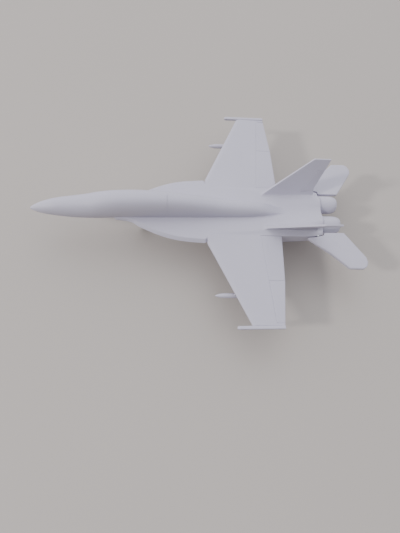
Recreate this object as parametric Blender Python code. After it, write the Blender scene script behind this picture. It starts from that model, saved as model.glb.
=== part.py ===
"""Twin-fin jet fighter model with two internal ducted fans, moving control surfaces and a tricycle landing gear.

Frame: X runs aft (the nose points to -X), Y runs to starboard, Z is up. The origin is on the centre line, midway
along the length, at the height where the wheels touch the ground. Profiles are written in millimetres, measured from
the wing plane, and placed in metres by the helpers.
"""

import math

import bpy
import bmesh
from mathutils import Vector

MM = 0.001

# ---- overall ----
WING_PLANE_HEIGHT = 70.0 * MM    # wing plane above the ground, standing on the wheels
GAP = 0.35 * MM                  # seam between two glued or screwed pieces
SKIN = 1.5 * MM                  # wall of the moulded shells

# ---- fuselage ----
NOSE_JOINT_X = -225.0 * MM       # nose cone to forward fuselage
FORE_END_X = -10.0 * MM          # forward fuselage to centre fuselage
CENTRE_END_X = 80.0 * MM         # centre fuselage to rear fuselage
REAR_END_X = 222.0 * MM          # end of the flat rear deck
BODY_HALF_WIDTH = 50.0 * MM      # side wall of the wide body
DECK_Z = 5.0 * MM                # upper deck above the wing plane
BELLY_Z = -38.0 * MM             # flat belly below the wing plane

# ---- hatch ----
HATCH_FRONT_X = -184.0 * MM
HATCH_REAR_X = -62.0 * MM
HATCH_SEAM_Z = 21.0 * MM
HATCH_PIVOT = (-61.0 * MM, 0.0, 44.6 * MM)
HATCH_OPEN_DEG = 60.0

# ---- wing ----
WING_ROOT_Y = 50.35 * MM
WING_TIP_Y = 212.2 * MM
LE_ROOT = (8.1 * MM, 65.4 * MM)
LE_TIP = (77.2 * MM, 212.2 * MM)
HINGE_X0, HINGE_SLOPE = 104.6 * MM, 0.083     # hinge line: x = X0 + slope * (y - 52 mm)
FLAP_Y = (51.4 * MM, 134.6 * MM)
AILERON_Y = (135.4 * MM, 207.8 * MM)
TE_POINTS = ((143.2, 51.0), (139.8, 135.0), (131.4, 212.2))
WIRE_RADIUS = 0.5 * MM
SPAR_X, SPAR_Z, SPAR_RADIUS, SPAR_HALF = 60.0 * MM, 0.6 * MM, 1.5 * MM, 108.0 * MM

# ---- fins ----
FIN_CANT_DEG = 24.0
FIN_BASE_Y = 32.9 * MM
FIN_HEIGHT = 78.8 * MM           # along the canted plane
FIN_THICKNESS = 4.8 * MM
RUDDER_SPAN = (0.13, 0.70)       # fractions of the fin's height

# ---- stabilators ----
STAB_Z = -5.0 * MM
STAB_SHAFT_X = 212.0 * MM
STAB_SHAFT_RADIUS = 1.5 * MM

# ---- ducted fans ----
FAN_Y, FAN_Z = 23.0 * MM, -17.0 * MM
NOZZLE_Y, NOZZLE_Z = 21.5 * MM, -9.5 * MM
FAN_INNER_RADIUS = 15.2 * MM
FAN_OUTER_RADIUS = 16.7 * MM
ROTOR_RADIUS = 14.8 * MM
NOZZLE_RADIUS = 16.6 * MM
NOZZLE_END_X = 256.0 * MM

# ---- landing gear ----
MAIN_WHEEL_RADIUS, MAIN_WHEEL_WIDTH = 13.0 * MM, 8.0 * MM
NOSE_WHEEL_RADIUS, NOSE_WHEEL_WIDTH = 11.0 * MM, 6.0 * MM
MAIN_AXLE_X, MAIN_TRACK_Y = 92.0 * MM, 54.0 * MM
NOSE_STRUT_X, NOSE_TRAIL = -106.0 * MM, 3.0 * MM

# ---- underwing stores ----
STORE_Y, STORE_Z, STORE_RADIUS = 156.5 * MM, -14.0 * MM, 4.2 * MM

# forebody stations: x, half width, height of the widest line, top, bottom (mm from the wing plane)
FOREBODY = (
    (-300.0, 0.8, 0.2, 1.0, -0.7),
    (-296.0, 3.6, 1.2, 4.9, -2.8),
    (-286.0, 7.8, 2.6, 11.0, -6.0),
    (-272.0, 11.7, 4.6, 17.2, -8.6),
    (-252.0, 15.2, 6.6, 23.4, -10.6),
    (-225.0, 18.2, 8.0, 28.0, -12.6),
    (-200.0, 19.8, 10.6, 33.4, -13.2),
    (-180.0, 20.5, 14.0, 39.6, -13.2),
    (-160.0, 20.9, 17.0, 44.6, -13.4),
    (-138.0, 21.1, 19.4, 47.6, -14.6),
    (-112.0, 21.1, 21.0, 48.6, -17.6),
    (-86.0, 20.5, 20.8, 47.6, -21.8),
    (-60.0, 19.6, 19.4, 45.2, -26.0),
    (-34.0, 18.6, 17.0, 41.4, -30.4),
    (-10.0, 17.9, 13.6, 37.0, -33.6),
)
# spine stations: x, half width at its foot, height of the widest line, top
SPINE = (
    (-9.6, 17.9, 13.6, 36.9),
    (10.0, 17.6, 10.5, 32.6),
    (32.0, 17.1, 7.5, 28.2),
    (56.0, 16.4, 5.4, 25.2),
    (84.0, 15.6, 5.4, 23.2),
    (108.0, 14.4, 5.4, 20.4),
    (128.0, 12.4, 5.4, 15.4),
    (144.0, 9.6, 5.4, 9.6),
    (152.0, 7.4, 5.4, 6.9),
)
# strake outline, starboard: the outer rim from the apex to the wing's leading edge (x, y)
STRAKE_RIM = (
    (-150.0, 21.0), (-135.0, 22.8), (-123.0, 26.2), (-112.5, 33.2), (-96.0, 41.4), (-78.0, 49.4), (-60.0, 55.6),
    (-43.0, 59.8), (-25.0, 62.4), (-7.0, 63.8), (7.7, 65.0),
)
DECK_LINE = ((-12.0, 5.0), (100.0, 5.0), (222.0, 0.8))


def deck_height(x):
    """Deck height above the wing plane at x, both in mm."""
    for (x0, z0), (x1, z1) in zip(DECK_LINE, DECK_LINE[1:]):
        if x <= x1:
            return z0 + (z1 - z0) * (x - x0) / (x1 - x0)
    return DECK_LINE[-1][1]


# how far the rear deck has swollen over the thrust tubes (x, fraction), and the fully swollen upper side (|y|, height)
SWELL = ((120.0, 0.0), (150.0, 0.18), (176.0, 0.5), (200.0, 0.85), (222.0, 1.0))
SWOLLEN = ((0.0, 4.4), (7.0, 5.6), (14.0, 8.2), (21.5, 9.3), (27.5, 7.9), (32.5, 4.4), (36.5, 0.6), (42.0, -0.9),
           (44.5, -3.7))
REAR_SECTIONS = (    # x, half width, bottom, lower corner radius
    (80.35, 50.0, -38.0, 17.0), (120.0, 50.0, -38.0, 17.0), (150.0, 50.0, -36.8, 17.0), (176.0, 49.6, -34.2, 16.0),
    (200.0, 48.4, -31.0, 14.0), (222.0, 44.5, -27.6, 12.0),
)


def between(table, x):
    """Linear interpolation in a table of pairs."""
    if x <= table[0][0]:
        return table[0][1]
    for (x0, z0), (x1, z1) in zip(table, table[1:]):
        if x <= x1:
            return z0 + (z1 - z0) * (x - x0) / (x1 - x0)
    return table[-1][1]


def deck_surface(x, y):
    """Height of the rear deck at (x, y), all in mm."""
    flat, side = deck_height(x), between([(r[0], r[1]) for r in REAR_SECTIONS], x)
    return flat + (between(SWOLLEN, abs(y) * 44.5 / side) - flat) * between(SWELL, x)


# ------------------------------------------------------------------ helpers

for old in list(bpy.data.objects):
    bpy.data.objects.remove(old, do_unlink=True)
scene_collection = bpy.context.scene.collection


def finish_material(name, colour, roughness, metallic=0.0):
    mat = bpy.data.materials.new(name)
    mat.use_nodes = True
    shader = mat.node_tree.nodes["Principled BSDF"]
    shader.inputs["Base Color"].default_value = (*colour, 1.0)
    shader.inputs["Roughness"].default_value = roughness
    shader.inputs["Metallic"].default_value = metallic
    mat.diffuse_color = (*colour, 1.0)
    return mat


WHITE = (0.80, 0.80, 0.83)
LOOKS = {
    "white": (WHITE, 0.5, 0.0),
    "grey": ((0.30, 0.31, 0.33), 0.5, 0.0),
    "black": ((0.03, 0.03, 0.035), 0.55, 0.0),
    "rubber": ((0.02, 0.02, 0.02), 0.8, 0.0),
    "steel": ((0.62, 0.63, 0.65), 0.3, 1.0),
    "carbon": ((0.03, 0.03, 0.03), 0.35, 0.0),
    "motor": ((0.55, 0.56, 0.58), 0.35, 1.0),
    "blue": ((0.05, 0.16, 0.40), 0.4, 0.0),
    "wood": ((0.55, 0.38, 0.20), 0.7, 0.0),
}


def place(p):
    """Millimetres from the wing plane to metres in the model's frame."""
    return Vector((p[0] * MM, p[1] * MM, p[2] * MM + WING_PLANE_HEIGHT))


def make(name, points, faces, look, origin=None):
    """One named object from points in mm, with its origin at a point in mm."""
    base = place(origin) if origin is not None else Vector((0, 0, 0))
    mesh = bpy.data.meshes.new(name)
    mesh.from_pydata([place(p) - base for p in points], [], faces)
    bm = bmesh.new()
    bm.from_mesh(mesh)
    bmesh.ops.recalc_face_normals(bm, faces=bm.faces)
    bm.to_mesh(mesh)
    bm.free()
    obj = bpy.data.objects.new(name, mesh)
    obj.location = base
    scene_collection.objects.link(obj)
    mesh.materials.append(finish_material(name + "_finish", *LOOKS[look]))
    mesh.shade_smooth()
    mesh.set_sharp_from_angle(angle=math.radians(32))
    return obj


def tool(name, points, faces):
    """A cutter or an added shape that the build leaves out on its own."""
    obj = make(name, points, faces, "grey")
    obj.hide_render = True
    obj.display_type = "WIRE"
    return obj


def boolean(obj, other, operation="DIFFERENCE"):
    mod = obj.modifiers.new(operation.title() + "_" + other.name, "BOOLEAN")
    mod.operation = operation
    mod.solver = "EXACT"
    mod.object = other


def ring_faces(rings, count, close_first=True, close_last=True):
    faces = []
    for r in range(rings - 1):
        for i in range(count):
            j = (i + 1) % count
            faces.append((r * count + i, r * count + j, (r + 1) * count + j, (r + 1) * count + i))
    if close_first:
        faces.append(tuple(range(count))[::-1])
    if close_last:
        faces.append(tuple((rings - 1) * count + i for i in range(count)))
    return faces


def loft(rings):
    """A closed solid through rings that all have the same number of points."""
    return [p for ring in rings for p in ring], ring_faces(len(rings), len(rings[0]))


def tube_loft(outer, inner, closed_front=False):
    """A wall between outer and inner rings, open at the last ring, and at the first one unless it is closed."""
    n, a, b = len(outer[0]), len(outer), len(inner)
    points = [p for ring in outer for p in ring] + [p for ring in inner for p in ring]
    faces = ring_faces(a, n, closed_front, False)
    shift = a * n
    faces += [tuple(shift + k for k in f) for f in ring_faces(b, n, closed_front, False)]
    for i in range(n):
        j = (i + 1) % n
        faces.append(((a - 1) * n + i, (a - 1) * n + j, shift + (b - 1) * n + j, shift + (b - 1) * n + i))
        if not closed_front:
            faces.append((i, j, shift + j, shift + i))
    return points, faces


def egg_ring(x, half, mid, top, bottom, count, power_up=2.15, power_down=2.0):
    ring = []
    for i in range(count):
        t = 2 * math.pi * i / count
        c, s = math.cos(t), math.sin(t)
        power, reach = (power_up, top - mid) if s >= 0 else (power_down, mid - bottom)
        ring.append((
            x,
            half * math.copysign(abs(c) ** (2 / power), c),
            mid + reach * math.copysign(abs(s) ** (2 / power), s),
        ))
    return ring


def box_ring(x, y0, y1, z0, z1, radius, steps=3, low_radius=None):
    """A rounded rectangle in the plane x, with its own radius on the lower corners if given."""
    low = radius if low_radius is None else low_radius
    ring = []
    for cy, cz, r, start in (
        (y1, z1, radius, 0), (y0, z1, radius, 90), (y0, z0, low, 180), (y1, z0, low, 270),
    ):
        for k in range(steps + 1):
            t = math.radians(start + 90 * k / steps)
            oy = cy - math.copysign(r, 1 if cy == y1 else -1)
            oz = cz - math.copysign(r, 1 if cz == z1 else -1)
            ring.append((x, oy + r * math.cos(t), oz + r * math.sin(t)))
    return ring


def turned(profile, axis_point, axis, count, closed=True):
    """A solid of revolution. The profile is (distance along the axis, radius) in mm, closed on itself or on the axis."""
    axis = Vector(axis).normalized()
    side = axis.orthogonal().normalized()
    if abs(axis.x) > 0.99:
        side = Vector((0, 0, 1))
    elif abs(axis.y) > 0.5:
        side = Vector((0, 0, 1)) - axis * axis.z
        side.normalize()
    other = axis.cross(side)
    origin = Vector(axis_point)
    points, index = [], []
    for d, r in profile:
        if r <= 1e-9:
            index.append([len(points)] * count)
            points.append(tuple(origin + axis * d))
        else:
            index.append([len(points) + i for i in range(count)])
            for i in range(count):
                t = 2 * math.pi * i / count
                points.append(tuple(origin + axis * d + (side * math.cos(t) + other * math.sin(t)) * r))
    faces = []
    pairs = list(zip(range(len(profile) - 1), range(1, len(profile))))
    if closed:
        pairs.append((len(profile) - 1, 0))
    for a, b in pairs:
        for i in range(count):
            j = (i + 1) % count
            face = [index[a][i], index[a][j], index[b][j], index[b][i]]
            unique = []
            for k in face:
                if k not in unique:
                    unique.append(k)
            if len(unique) >= 3:
                faces.append(tuple(unique))
    return points, faces


def rod(a, b, radius, count=10):
    """A closed cylinder between two points."""
    d = (Vector(b) - Vector(a)).length
    return turned(((0, 0), (0, radius), (d, radius), (d, 0)), a, Vector(b) - Vector(a), count, closed=False)


def inset_outline(outline, distances):
    """Each edge of a closed outline moved inwards by its own distance."""
    n = len(outline)
    area = sum(outline[i][0] * outline[(i + 1) % n][1] - outline[(i + 1) % n][0] * outline[i][1] for i in range(n))
    turn = 1 if area > 0 else -1
    lines = []
    for i in range(n):
        (x0, y0), (x1, y1) = outline[i], outline[(i + 1) % n]
        length = math.hypot(x1 - x0, y1 - y0)
        nx, ny = -(y1 - y0) / length * turn, (x1 - x0) / length * turn
        lines.append((nx, ny, nx * x0 + ny * y0 + distances[i]))
    result = []
    for i in range(n):
        a, b = lines[i - 1], lines[i]
        det = a[0] * b[1] - a[1] * b[0]
        if abs(det) < 1e-4:
            x0, y0 = outline[i]
            result.append((x0 + b[0] * distances[i], y0 + b[1] * distances[i]))
        else:
            result.append(((a[2] * b[1] - a[1] * b[2]) / det, (a[0] * b[2] - a[2] * b[0]) / det))
    return result


def plate(outline, distances, top, bottom, rim, place_at):
    """A flat solid with chamfered edges. top and bottom give the two faces' heights at (u, v), rim the half height of
    the edge band about its middle, and place_at turns (u, v, height) into a point."""
    inner = inset_outline(outline, distances)
    points = [place_at(u, v, top(u, v)) for u, v in inner]
    points += [place_at(u, v, (top(u, v) + bottom(u, v)) / 2 + rim) for u, v in outline]
    points += [place_at(u, v, (top(u, v) + bottom(u, v)) / 2 - rim) for u, v in outline]
    points += [place_at(u, v, bottom(u, v)) for u, v in inner]
    n = len(outline)
    faces = [tuple(range(n)), tuple(3 * n + i for i in range(n))[::-1]]
    for band in range(3):
        for i in range(n):
            j = (i + 1) % n
            faces.append((band * n + i, band * n + j, (band + 1) * n + j, (band + 1) * n + i))
    return points, faces


def mirrored(points):
    return [(p[0], -p[1], p[2]) for p in points]


SIDES = (("right", 1), ("left", -1))


def sided(points, sign):
    return points if sign > 0 else mirrored(points)


# ------------------------------------------------------------------ forebody

RING = 24
mm = 1 / MM
skin = SKIN * mm


def fore_rings(x_from, x_to, shrink=0.0):
    """Forebody rings between two stations, in mm, with the ends read off between stations."""
    def at(x):
        for a, b in zip(FOREBODY, FOREBODY[1:]):
            if x <= b[0] + 1e-9:
                t = (x - a[0]) / (b[0] - a[0])
                return tuple(a[k] + (b[k] - a[k]) * t for k in range(5))
        return FOREBODY[-1]
    xs = [x_from] + [s[0] for s in FOREBODY if x_from + 1 < s[0] < x_to - 1] + [x_to]
    rings = []
    for x in xs:
        _, half, mid, top, bottom = at(x)
        rings.append(egg_ring(x, half - shrink, mid, top - shrink, bottom + shrink, RING))
    return rings


nose_x = NOSE_JOINT_X * mm
points, faces = tube_loft(fore_rings(-300.0, nose_x), fore_rings(-284.0, nose_x, skin), closed_front=True)
nose_cone = make("nose_cone", points, faces, "white")

points, faces = tube_loft(
    fore_rings(nose_x + 0.35, FORE_END_X * mm), fore_rings(nose_x + 0.35, FORE_END_X * mm, skin))
forward_fuselage = make("forward_fuselage", points, faces, "white")


def hatch_prism(name, grow):
    """The volume above the hatch's seam. Its front face leans forward, so the front edge clears as the hatch opens."""
    x0, x1, z0 = HATCH_FRONT_X * mm - grow, HATCH_REAR_X * mm + grow, HATCH_SEAM_Z * mm - grow
    profile = ((x0, z0), (x1, z0), (x1, 60.0), (x0 - 10.0, 60.0))
    pts = [(x, -30.0, z) for x, z in profile] + [(x, 30.0, z) for x, z in profile]
    return tool(name, pts, ring_faces(2, 4))


boolean(forward_fuselage, hatch_prism("hatch_opening_cutter", 0.4))
points, faces = tube_loft(fore_rings(-198.0, -50.0), fore_rings(-198.0, -50.0, skin))
canopy_hatch = make("canopy_hatch", points, faces, "white",
                    origin=(HATCH_PIVOT[0] * mm, 0.0, HATCH_PIVOT[2] * mm))
boolean(canopy_hatch, hatch_prism("hatch_volume_cutter", 0.0), "INTERSECT")

# hole for the nose gear's steering post
points, faces = rod((NOSE_STRUT_X * mm, 0, -30), (NOSE_STRUT_X * mm, 0, -8), 2.5, 12)
boolean(forward_fuselage, tool("nose_post_cutter", points, faces))

# ------------------------------------------------------------------ centre fuselage with the two intake channels

half = BODY_HALF_WIDTH * mm
belly, deck = BELLY_Z * mm, DECK_Z * mm
points, faces = loft([
    box_ring(FORE_END_X * mm + 0.35, -half, half, belly, deck, 1.5, 3, 9.5),
    box_ring(CENTRE_END_X * mm, -half, half, belly, deck, 1.5, 3, 17.0),
])
centre_fuselage = make("center_fuselage", points, faces, "white")
for name, sign in SIDES:
    channel = []
    for x, y0, y1, z0, z1, r in (
        (-14.0, 22.5, 48.0, -35.8, -4.0, 4.0), (22.0, 21.0, 47.0, -35.6, -2.6, 7.0),
        (52.0, 13.0, 43.0, -34.0, -2.2, 12.0), (84.0, 7.8, 38.2, -32.2, -1.8, 15.1),
    ):
        channel.append(box_ring(x, y0, y1, z0, z1, r, 3))
    points, faces = loft(channel)
    boolean(centre_fuselage, tool(name + "_channel_cutter", sided(points, sign), faces))
    # the mouth is raked back from the strake down to the belly
    rake = ((-16.0, -3.0), (-9.0, -3.0), (8.0, belly - 4.0), (-16.0, belly - 4.0))
    pts = [(x, 20.5, z) for x, z in rake] + [(x, 54.0, z) for x, z in rake]
    boolean(centre_fuselage, tool(name + "_mouth_cutter", sided(pts, sign), ring_faces(2, 4)))
points, faces = loft([
    box_ring(-14.0, -16.0, 16.0, -30.0, 2.6, 3.0, 2), box_ring(20.0, -15.0, 15.0, -30.0, 2.6, 3.0, 2),
    box_ring(50.0, -8.0, 8.0, -30.0, 2.6, 3.0, 2), box_ring(84.0, -5.6, 5.6, -30.0, 2.6, 2.0, 2),
])
boolean(centre_fuselage, tool("wiring_bay_cutter", points, faces))
spar_x, spar_z, spar_r = SPAR_X * mm, SPAR_Z * mm, SPAR_RADIUS * mm
points, faces = rod((spar_x, -SPAR_HALF * mm - 2, spar_z), (spar_x, SPAR_HALF * mm + 2, spar_z), spar_r + 0.3, 10)
spar_bore = tool("spar_bore_cutter", points, faces)
boolean(centre_fuselage, spar_bore)

points, faces = rod((spar_x, -SPAR_HALF * mm, spar_z), (spar_x, SPAR_HALF * mm, spar_z), spar_r, 10)
make("wing_spar", points, faces, "carbon")

# ------------------------------------------------------------------ rear fuselage


def rear_ring(x, side, z0, radius):
    """A body section with round lower corners and the deck's own upper side."""
    ring = []
    for k in range(5):
        t = math.radians(-90 + 90 * k / 4)
        ring.append((x, side - radius + radius * math.cos(t), z0 + radius + radius * math.sin(t)))
    for y, _ in SWOLLEN[::-1]:
        ring.append((x, y * side / 44.5, deck_surface(x, y * side / 44.5)))
    return ring + [(x, -y, z) for x, y, z in ring[-2::-1]]


def shrunk(ring, wall):
    """A section moved inwards by the wall's thickness."""
    flat = inset_outline([(y, z) for _, y, z in ring], [wall] * len(ring))
    return [(ring[0][0], y, z) for y, z in flat]


rear = [rear_ring(*r) for r in REAR_SECTIONS]
rear_inner = [shrunk(r, 1.6) for r in rear]
rear_inner[0] = [(70.0, p[1], p[2]) for p in rear_inner[0]]
rear_inner[-1] = [(217.0, p[1], p[2]) for p in rear_inner[-1]]
points, faces = loft(rear)
rear_fuselage = make("rear_fuselage", points, faces, "white")
points, faces = loft(rear_inner)
boolean(rear_fuselage, tool("rear_bay_cutter", points, faces))
ny, nz = NOZZLE_Y * mm, NOZZLE_Z * mm
for name, sign in SIDES:
    points, faces = rod((205.0, ny * sign, nz), (236.0, ny * sign, nz), NOZZLE_RADIUS * mm + 0.4, 28)
    boolean(rear_fuselage, tool(name + "_nozzle_cutter", points, faces))
    points, faces = rod((STAB_SHAFT_X * mm, 36 * sign, STAB_Z * mm), (STAB_SHAFT_X * mm, 56 * sign, STAB_Z * mm),
                        STAB_SHAFT_RADIUS * mm + 0.3, 12)
    boolean(rear_fuselage, tool(name + "_shaft_cutter", points, faces))

# ------------------------------------------------------------------ spine cover

def spine_ring(x, foot, mid, top, shrink=0.0):
    """An arch that stands on the deck, with its feet in a closed ring."""
    base = deck_surface(x, foot) + 0.35
    mid = max(mid, base)
    low = 13.0 if mid > base + 0.1 else 1.0
    ring, count = [], 14
    start = -math.asin(min(1.0, (mid - base) / max(low + mid, 1.0))) if mid > base + 0.1 else 0.0
    for i in range(count + 1):
        t = start + (math.pi - 2 * start) * i / count
        c, s = math.cos(t), math.sin(t)
        y = (foot - shrink) * math.copysign(abs(c) ** (2 / 2.3), c)
        reach = (top - shrink - mid) if s >= 0 else (mid + low)
        ring.append((x, y, max(base, mid + reach * math.copysign(abs(s) ** (2 / 2.3), s))))
    ring[0] = (x, ring[0][1], base)
    ring[-1] = (x, ring[-1][1], base)
    return ring


outer = [spine_ring(*s) for s in SPINE]
inner = [spine_ring(s[0], s[1], s[2], s[3], skin) for s in SPINE[:-2]]
n = len(outer[0])
points = [p for r in outer for p in r] + [p for r in inner for p in r]
shift = len(outer) * n
faces = []
for r in range(len(outer) - 1):
    for i in range(n - 1):
        faces.append((r * n + i, r * n + i + 1, (r + 1) * n + i + 1, (r + 1) * n + i))
for r in range(len(inner) - 1):
    for i in range(n - 1):
        faces.append((shift + r * n + i, shift + r * n + i + 1, shift + (r + 1) * n + i + 1, shift + (r + 1) * n + i))
for i in range(n - 1):
    faces.append((i, i + 1, shift + i + 1, shift + i))
last = len(inner) - 1
faces.append(tuple(shift + last * n + i for i in range(n)))
faces.append(tuple((len(outer) - 1) * n + i for i in range(n)))
left_rim = [r * n + n - 1 for r in range(len(outer))] + [shift + r * n + n - 1 for r in range(last, -1, -1)]
right_rim = [r * n for r in range(len(outer))] + [shift + r * n for r in range(last, -1, -1)]
# the foot is a flat U: both sides join behind the hollow
tail = len(outer) - 1
faces.append(tuple([r * n for r in range(len(outer))] + [tail * n + n - 1]
                   + [r * n + n - 1 for r in range(tail - 1, -1, -1)]
                   + [shift + r * n + n - 1 for r in range(len(inner))]
                   + [shift + r * n for r in range(last, -1, -1)]))
make("dorsal_spine", points, faces, "white")

# ------------------------------------------------------------------ strakes

def fore_side(x, z):
    """Half width of the forebody at a height, in mm."""
    for a, b in zip(FOREBODY, FOREBODY[1:]):
        if x <= b[0] + 1e-9:
            t = (x - a[0]) / (b[0] - a[0])
            _, w, mid, top, bottom = (a[k] + (b[k] - a[k]) * t for k in range(5))
            break
    reach, power = (top - mid, 2.15) if z >= mid else (mid - bottom, 2.0)
    return w * max(0.0, 1 - abs((z - mid) / reach) ** power) ** (1 / power)


for name, sign in SIDES:
    rim = list(STRAKE_RIM)
    root = [(7.7, half + 0.35), (-10.0, half + 0.35), (-10.0, fore_side(-10.0, 5.0) + 0.35)]
    root += [(x, fore_side(x, 5.0) + 0.35) for x in (-34.0, -60.0, -86.0, -112.0, -138.0)]
    outline = rim + root
    distances = [1.2] * 2 + [3.2, 4.8] + [5.6] * 6 + [0.02] * (len(root) + 1)
    points, faces = plate(outline, distances, lambda u, v: deck, lambda u, v: -2.6, 1.3,
                          lambda u, v, h: (u, v, h))
    # the rim band sits low, so the chamfer is on the upper side
    n = len(outline)
    for k in range(n, 3 * n):
        points[k] = (points[k][0], points[k][1], points[k][2] - 1.4)
    make(name + "_strake", sided(points, sign), faces, "white")

# ------------------------------------------------------------------ wings

def hinge_x(y):
    return HINGE_X0 * mm + HINGE_SLOPE * (y - 52.0)


def wing_half(x, y):
    """Half thickness of the wing box, mm."""
    return 5.574 - 0.02263 * x - 0.0059 * y


def te_x(y):
    for (x0, y0), (x1, y1) in zip(TE_POINTS, TE_POINTS[1:]):
        if y <= y1:
            return x0 + (x1 - x0) * (y - y0) / (y1 - y0)
    return TE_POINTS[-1][0]


HINGE_DIR = Vector((HINGE_SLOPE, 1.0, 0.0)).normalized()
LIP = 0.6
AIL0, AIL1 = AILERON_Y[0] * mm, AILERON_Y[1] * mm
FL0, FL1 = FLAP_Y[0] * mm, FLAP_Y[1] * mm
root_y, tip_y = WING_ROOT_Y * mm, WING_TIP_Y * mm
SERVO_Y, SERVO_X = (170.0, 186.4), (82.0, 102.0)
ARM_Y, ARM_AXIS, ARM_LENGTH = 167.0, (87.0, -2.2), 7.0


def nose_radius(y):
    return wing_half(hinge_x(y), y) - 0.5


for name, sign in SIDES:
    outline = [
        (LE_ROOT[0] * mm, root_y), (LE_ROOT[0] * mm, LE_ROOT[1] * mm), (LE_TIP[0] * mm, tip_y),
        (te_x(tip_y), tip_y), (te_x(AIL1 + 0.5), AIL1 + 0.5), (hinge_x(AIL1 + 0.5) - LIP, AIL1 + 0.5),
        (hinge_x(root_y) - LIP, root_y),
    ]
    distances = [4.5, 9.0, 0.02, 2.0, 0.02, 0.02, 0.02]
    points, faces = plate(outline, distances, wing_half, lambda u, v: -wing_half(u, v), 0.8,
                          lambda u, v, h: (u, v, h))
    n = len(outline)
    for i, (u, v) in enumerate(outline):   # square faces wherever the edge isn't chamfered
        if i in (4, 5, 6, 0):
            h = wing_half(u, v)
            points[n + i] = (u, v, h - 0.05)
            points[2 * n + i] = (u, v, -h + 0.05)
    wing = make(name + "_wing", sided(points, sign), faces, "white")
    a, b = FL0 - 3.0, AIL1 + 0.5
    cove = []
    for y in (a, b):
        r = nose_radius(y) + 0.35
        ring = []
        for k in range(16):
            t = 2 * math.pi * k / 16
            ring.append((hinge_x(y) + r * math.cos(t), y, r * math.sin(t)))
        cove.append(ring)
    points, faces = loft(cove)
    boolean(wing, tool(name + "_cove_cutter", sided(points, sign), faces))
    points, faces = rod((hinge_x(200.0), 200.0, 0), (hinge_x(210.4), 210.4, 0), WIRE_RADIUS * mm + 0.25, 8)
    boolean(wing, tool(name + "_wire_cutter", sided(points, sign), faces))
    boolean(wing, spar_bore)
    # servo bay, open below, with room for the arm beside it
    bay = [(x, y, z) for x in (SERVO_X[0] - 0.4, SERVO_X[1] + 0.4) for y, z in
           ((SERVO_Y[0] - 0.4, -12.0), (SERVO_Y[1] + 0.4, -12.0), (SERVO_Y[1] + 0.4, 1.0), (SERVO_Y[0] - 0.4, 1.0))]
    boolean(wing, tool(name + "_servo_bay_cutter", sided(bay, sign), ring_faces(2, 4)))
    arm_bay = [(x, y, z) for x in (83.0, 91.0) for y, z in
               ((ARM_Y - 3.4, -12.0), (SERVO_Y[0] + 1.0, -12.0), (SERVO_Y[0] + 1.0, 1.0), (ARM_Y - 3.4, 1.0))]
    boolean(wing, tool(name + "_arm_bay_cutter", sided(arm_bay, sign), ring_faces(2, 4)))

    wire = rod((hinge_x(50.7), 50.7, 0), (hinge_x(210.0), 210.0, 0), WIRE_RADIUS * mm, 8)
    make(name + "_hinge_wire", sided(wire[0], sign), wire[1], "steel")


def surface_sections(y, top_corner, bottom_corner):
    h = wing_half(hinge_x(y), y)
    r = nose_radius(y)
    x0 = hinge_x(y)
    ring = [(x0 + top_corner, y, h)]
    for k in range(7):
        t = math.radians(102 + 156 * k / 6)
        ring.append((x0 + r * math.cos(t), y, r * math.sin(t)))
    ring.append((x0 + bottom_corner, y, -h))
    ring.append((te_x(y), y, -0.7))
    ring.append((te_x(y), y, 0.7))
    return ring


for name, sign in SIDES:
    for piece, (y0, y1), corners in (("aileron", (AIL0, AIL1), (0.3, 0.5)), ("flap", (FL0, FL1), (-0.1, 1.5))):
        ys = (y0, y1) if piece == "aileron" else (y0, 134.6)
        points, faces = loft([surface_sections(y, *corners) for y in ys])
        obj = make(f"{name}_{piece}", sided(points, sign), faces, "white",
                   origin=(hinge_x((y0 + y1) / 2), sign * (y0 + y1) / 2, 0))
        bore = rod((hinge_x(y0 - 3), y0 - 3, 0), (hinge_x(y1 + 3), y1 + 3, 0), WIRE_RADIUS * mm + 0.25, 8)
        boolean(obj, tool(f"{name}_{piece}_bore_cutter", sided(bore[0], sign), bore[1]))
        if piece == "aileron":
            hx = hinge_x(ARM_Y)
            horn = ((hx + 6.0, -0.6), (hx + 1.4, -1.0), (hx - 1.5, -5.6), (hx - 1.5, -8.4), (hx + 1.5, -8.4),
                    (hx + 9.0, -1.0))
            pts = [(x, ARM_Y - 0.75, z) for x, z in horn] + [(x, ARM_Y + 0.75, z) for x, z in horn]
            boolean(obj, tool(f"{name}_horn_shape", sided(pts, sign), ring_faces(2, len(horn))), "UNION")
            hole = rod((hx, ARM_Y - 3, -ARM_LENGTH), (hx, ARM_Y + 3, -ARM_LENGTH), 0.85, 8)
            boolean(obj, tool(f"{name}_horn_hole_cutter", sided(hole[0], sign), hole[1]))

# ------------------------------------------------------------------ aileron servos, arms and pushrods

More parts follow.
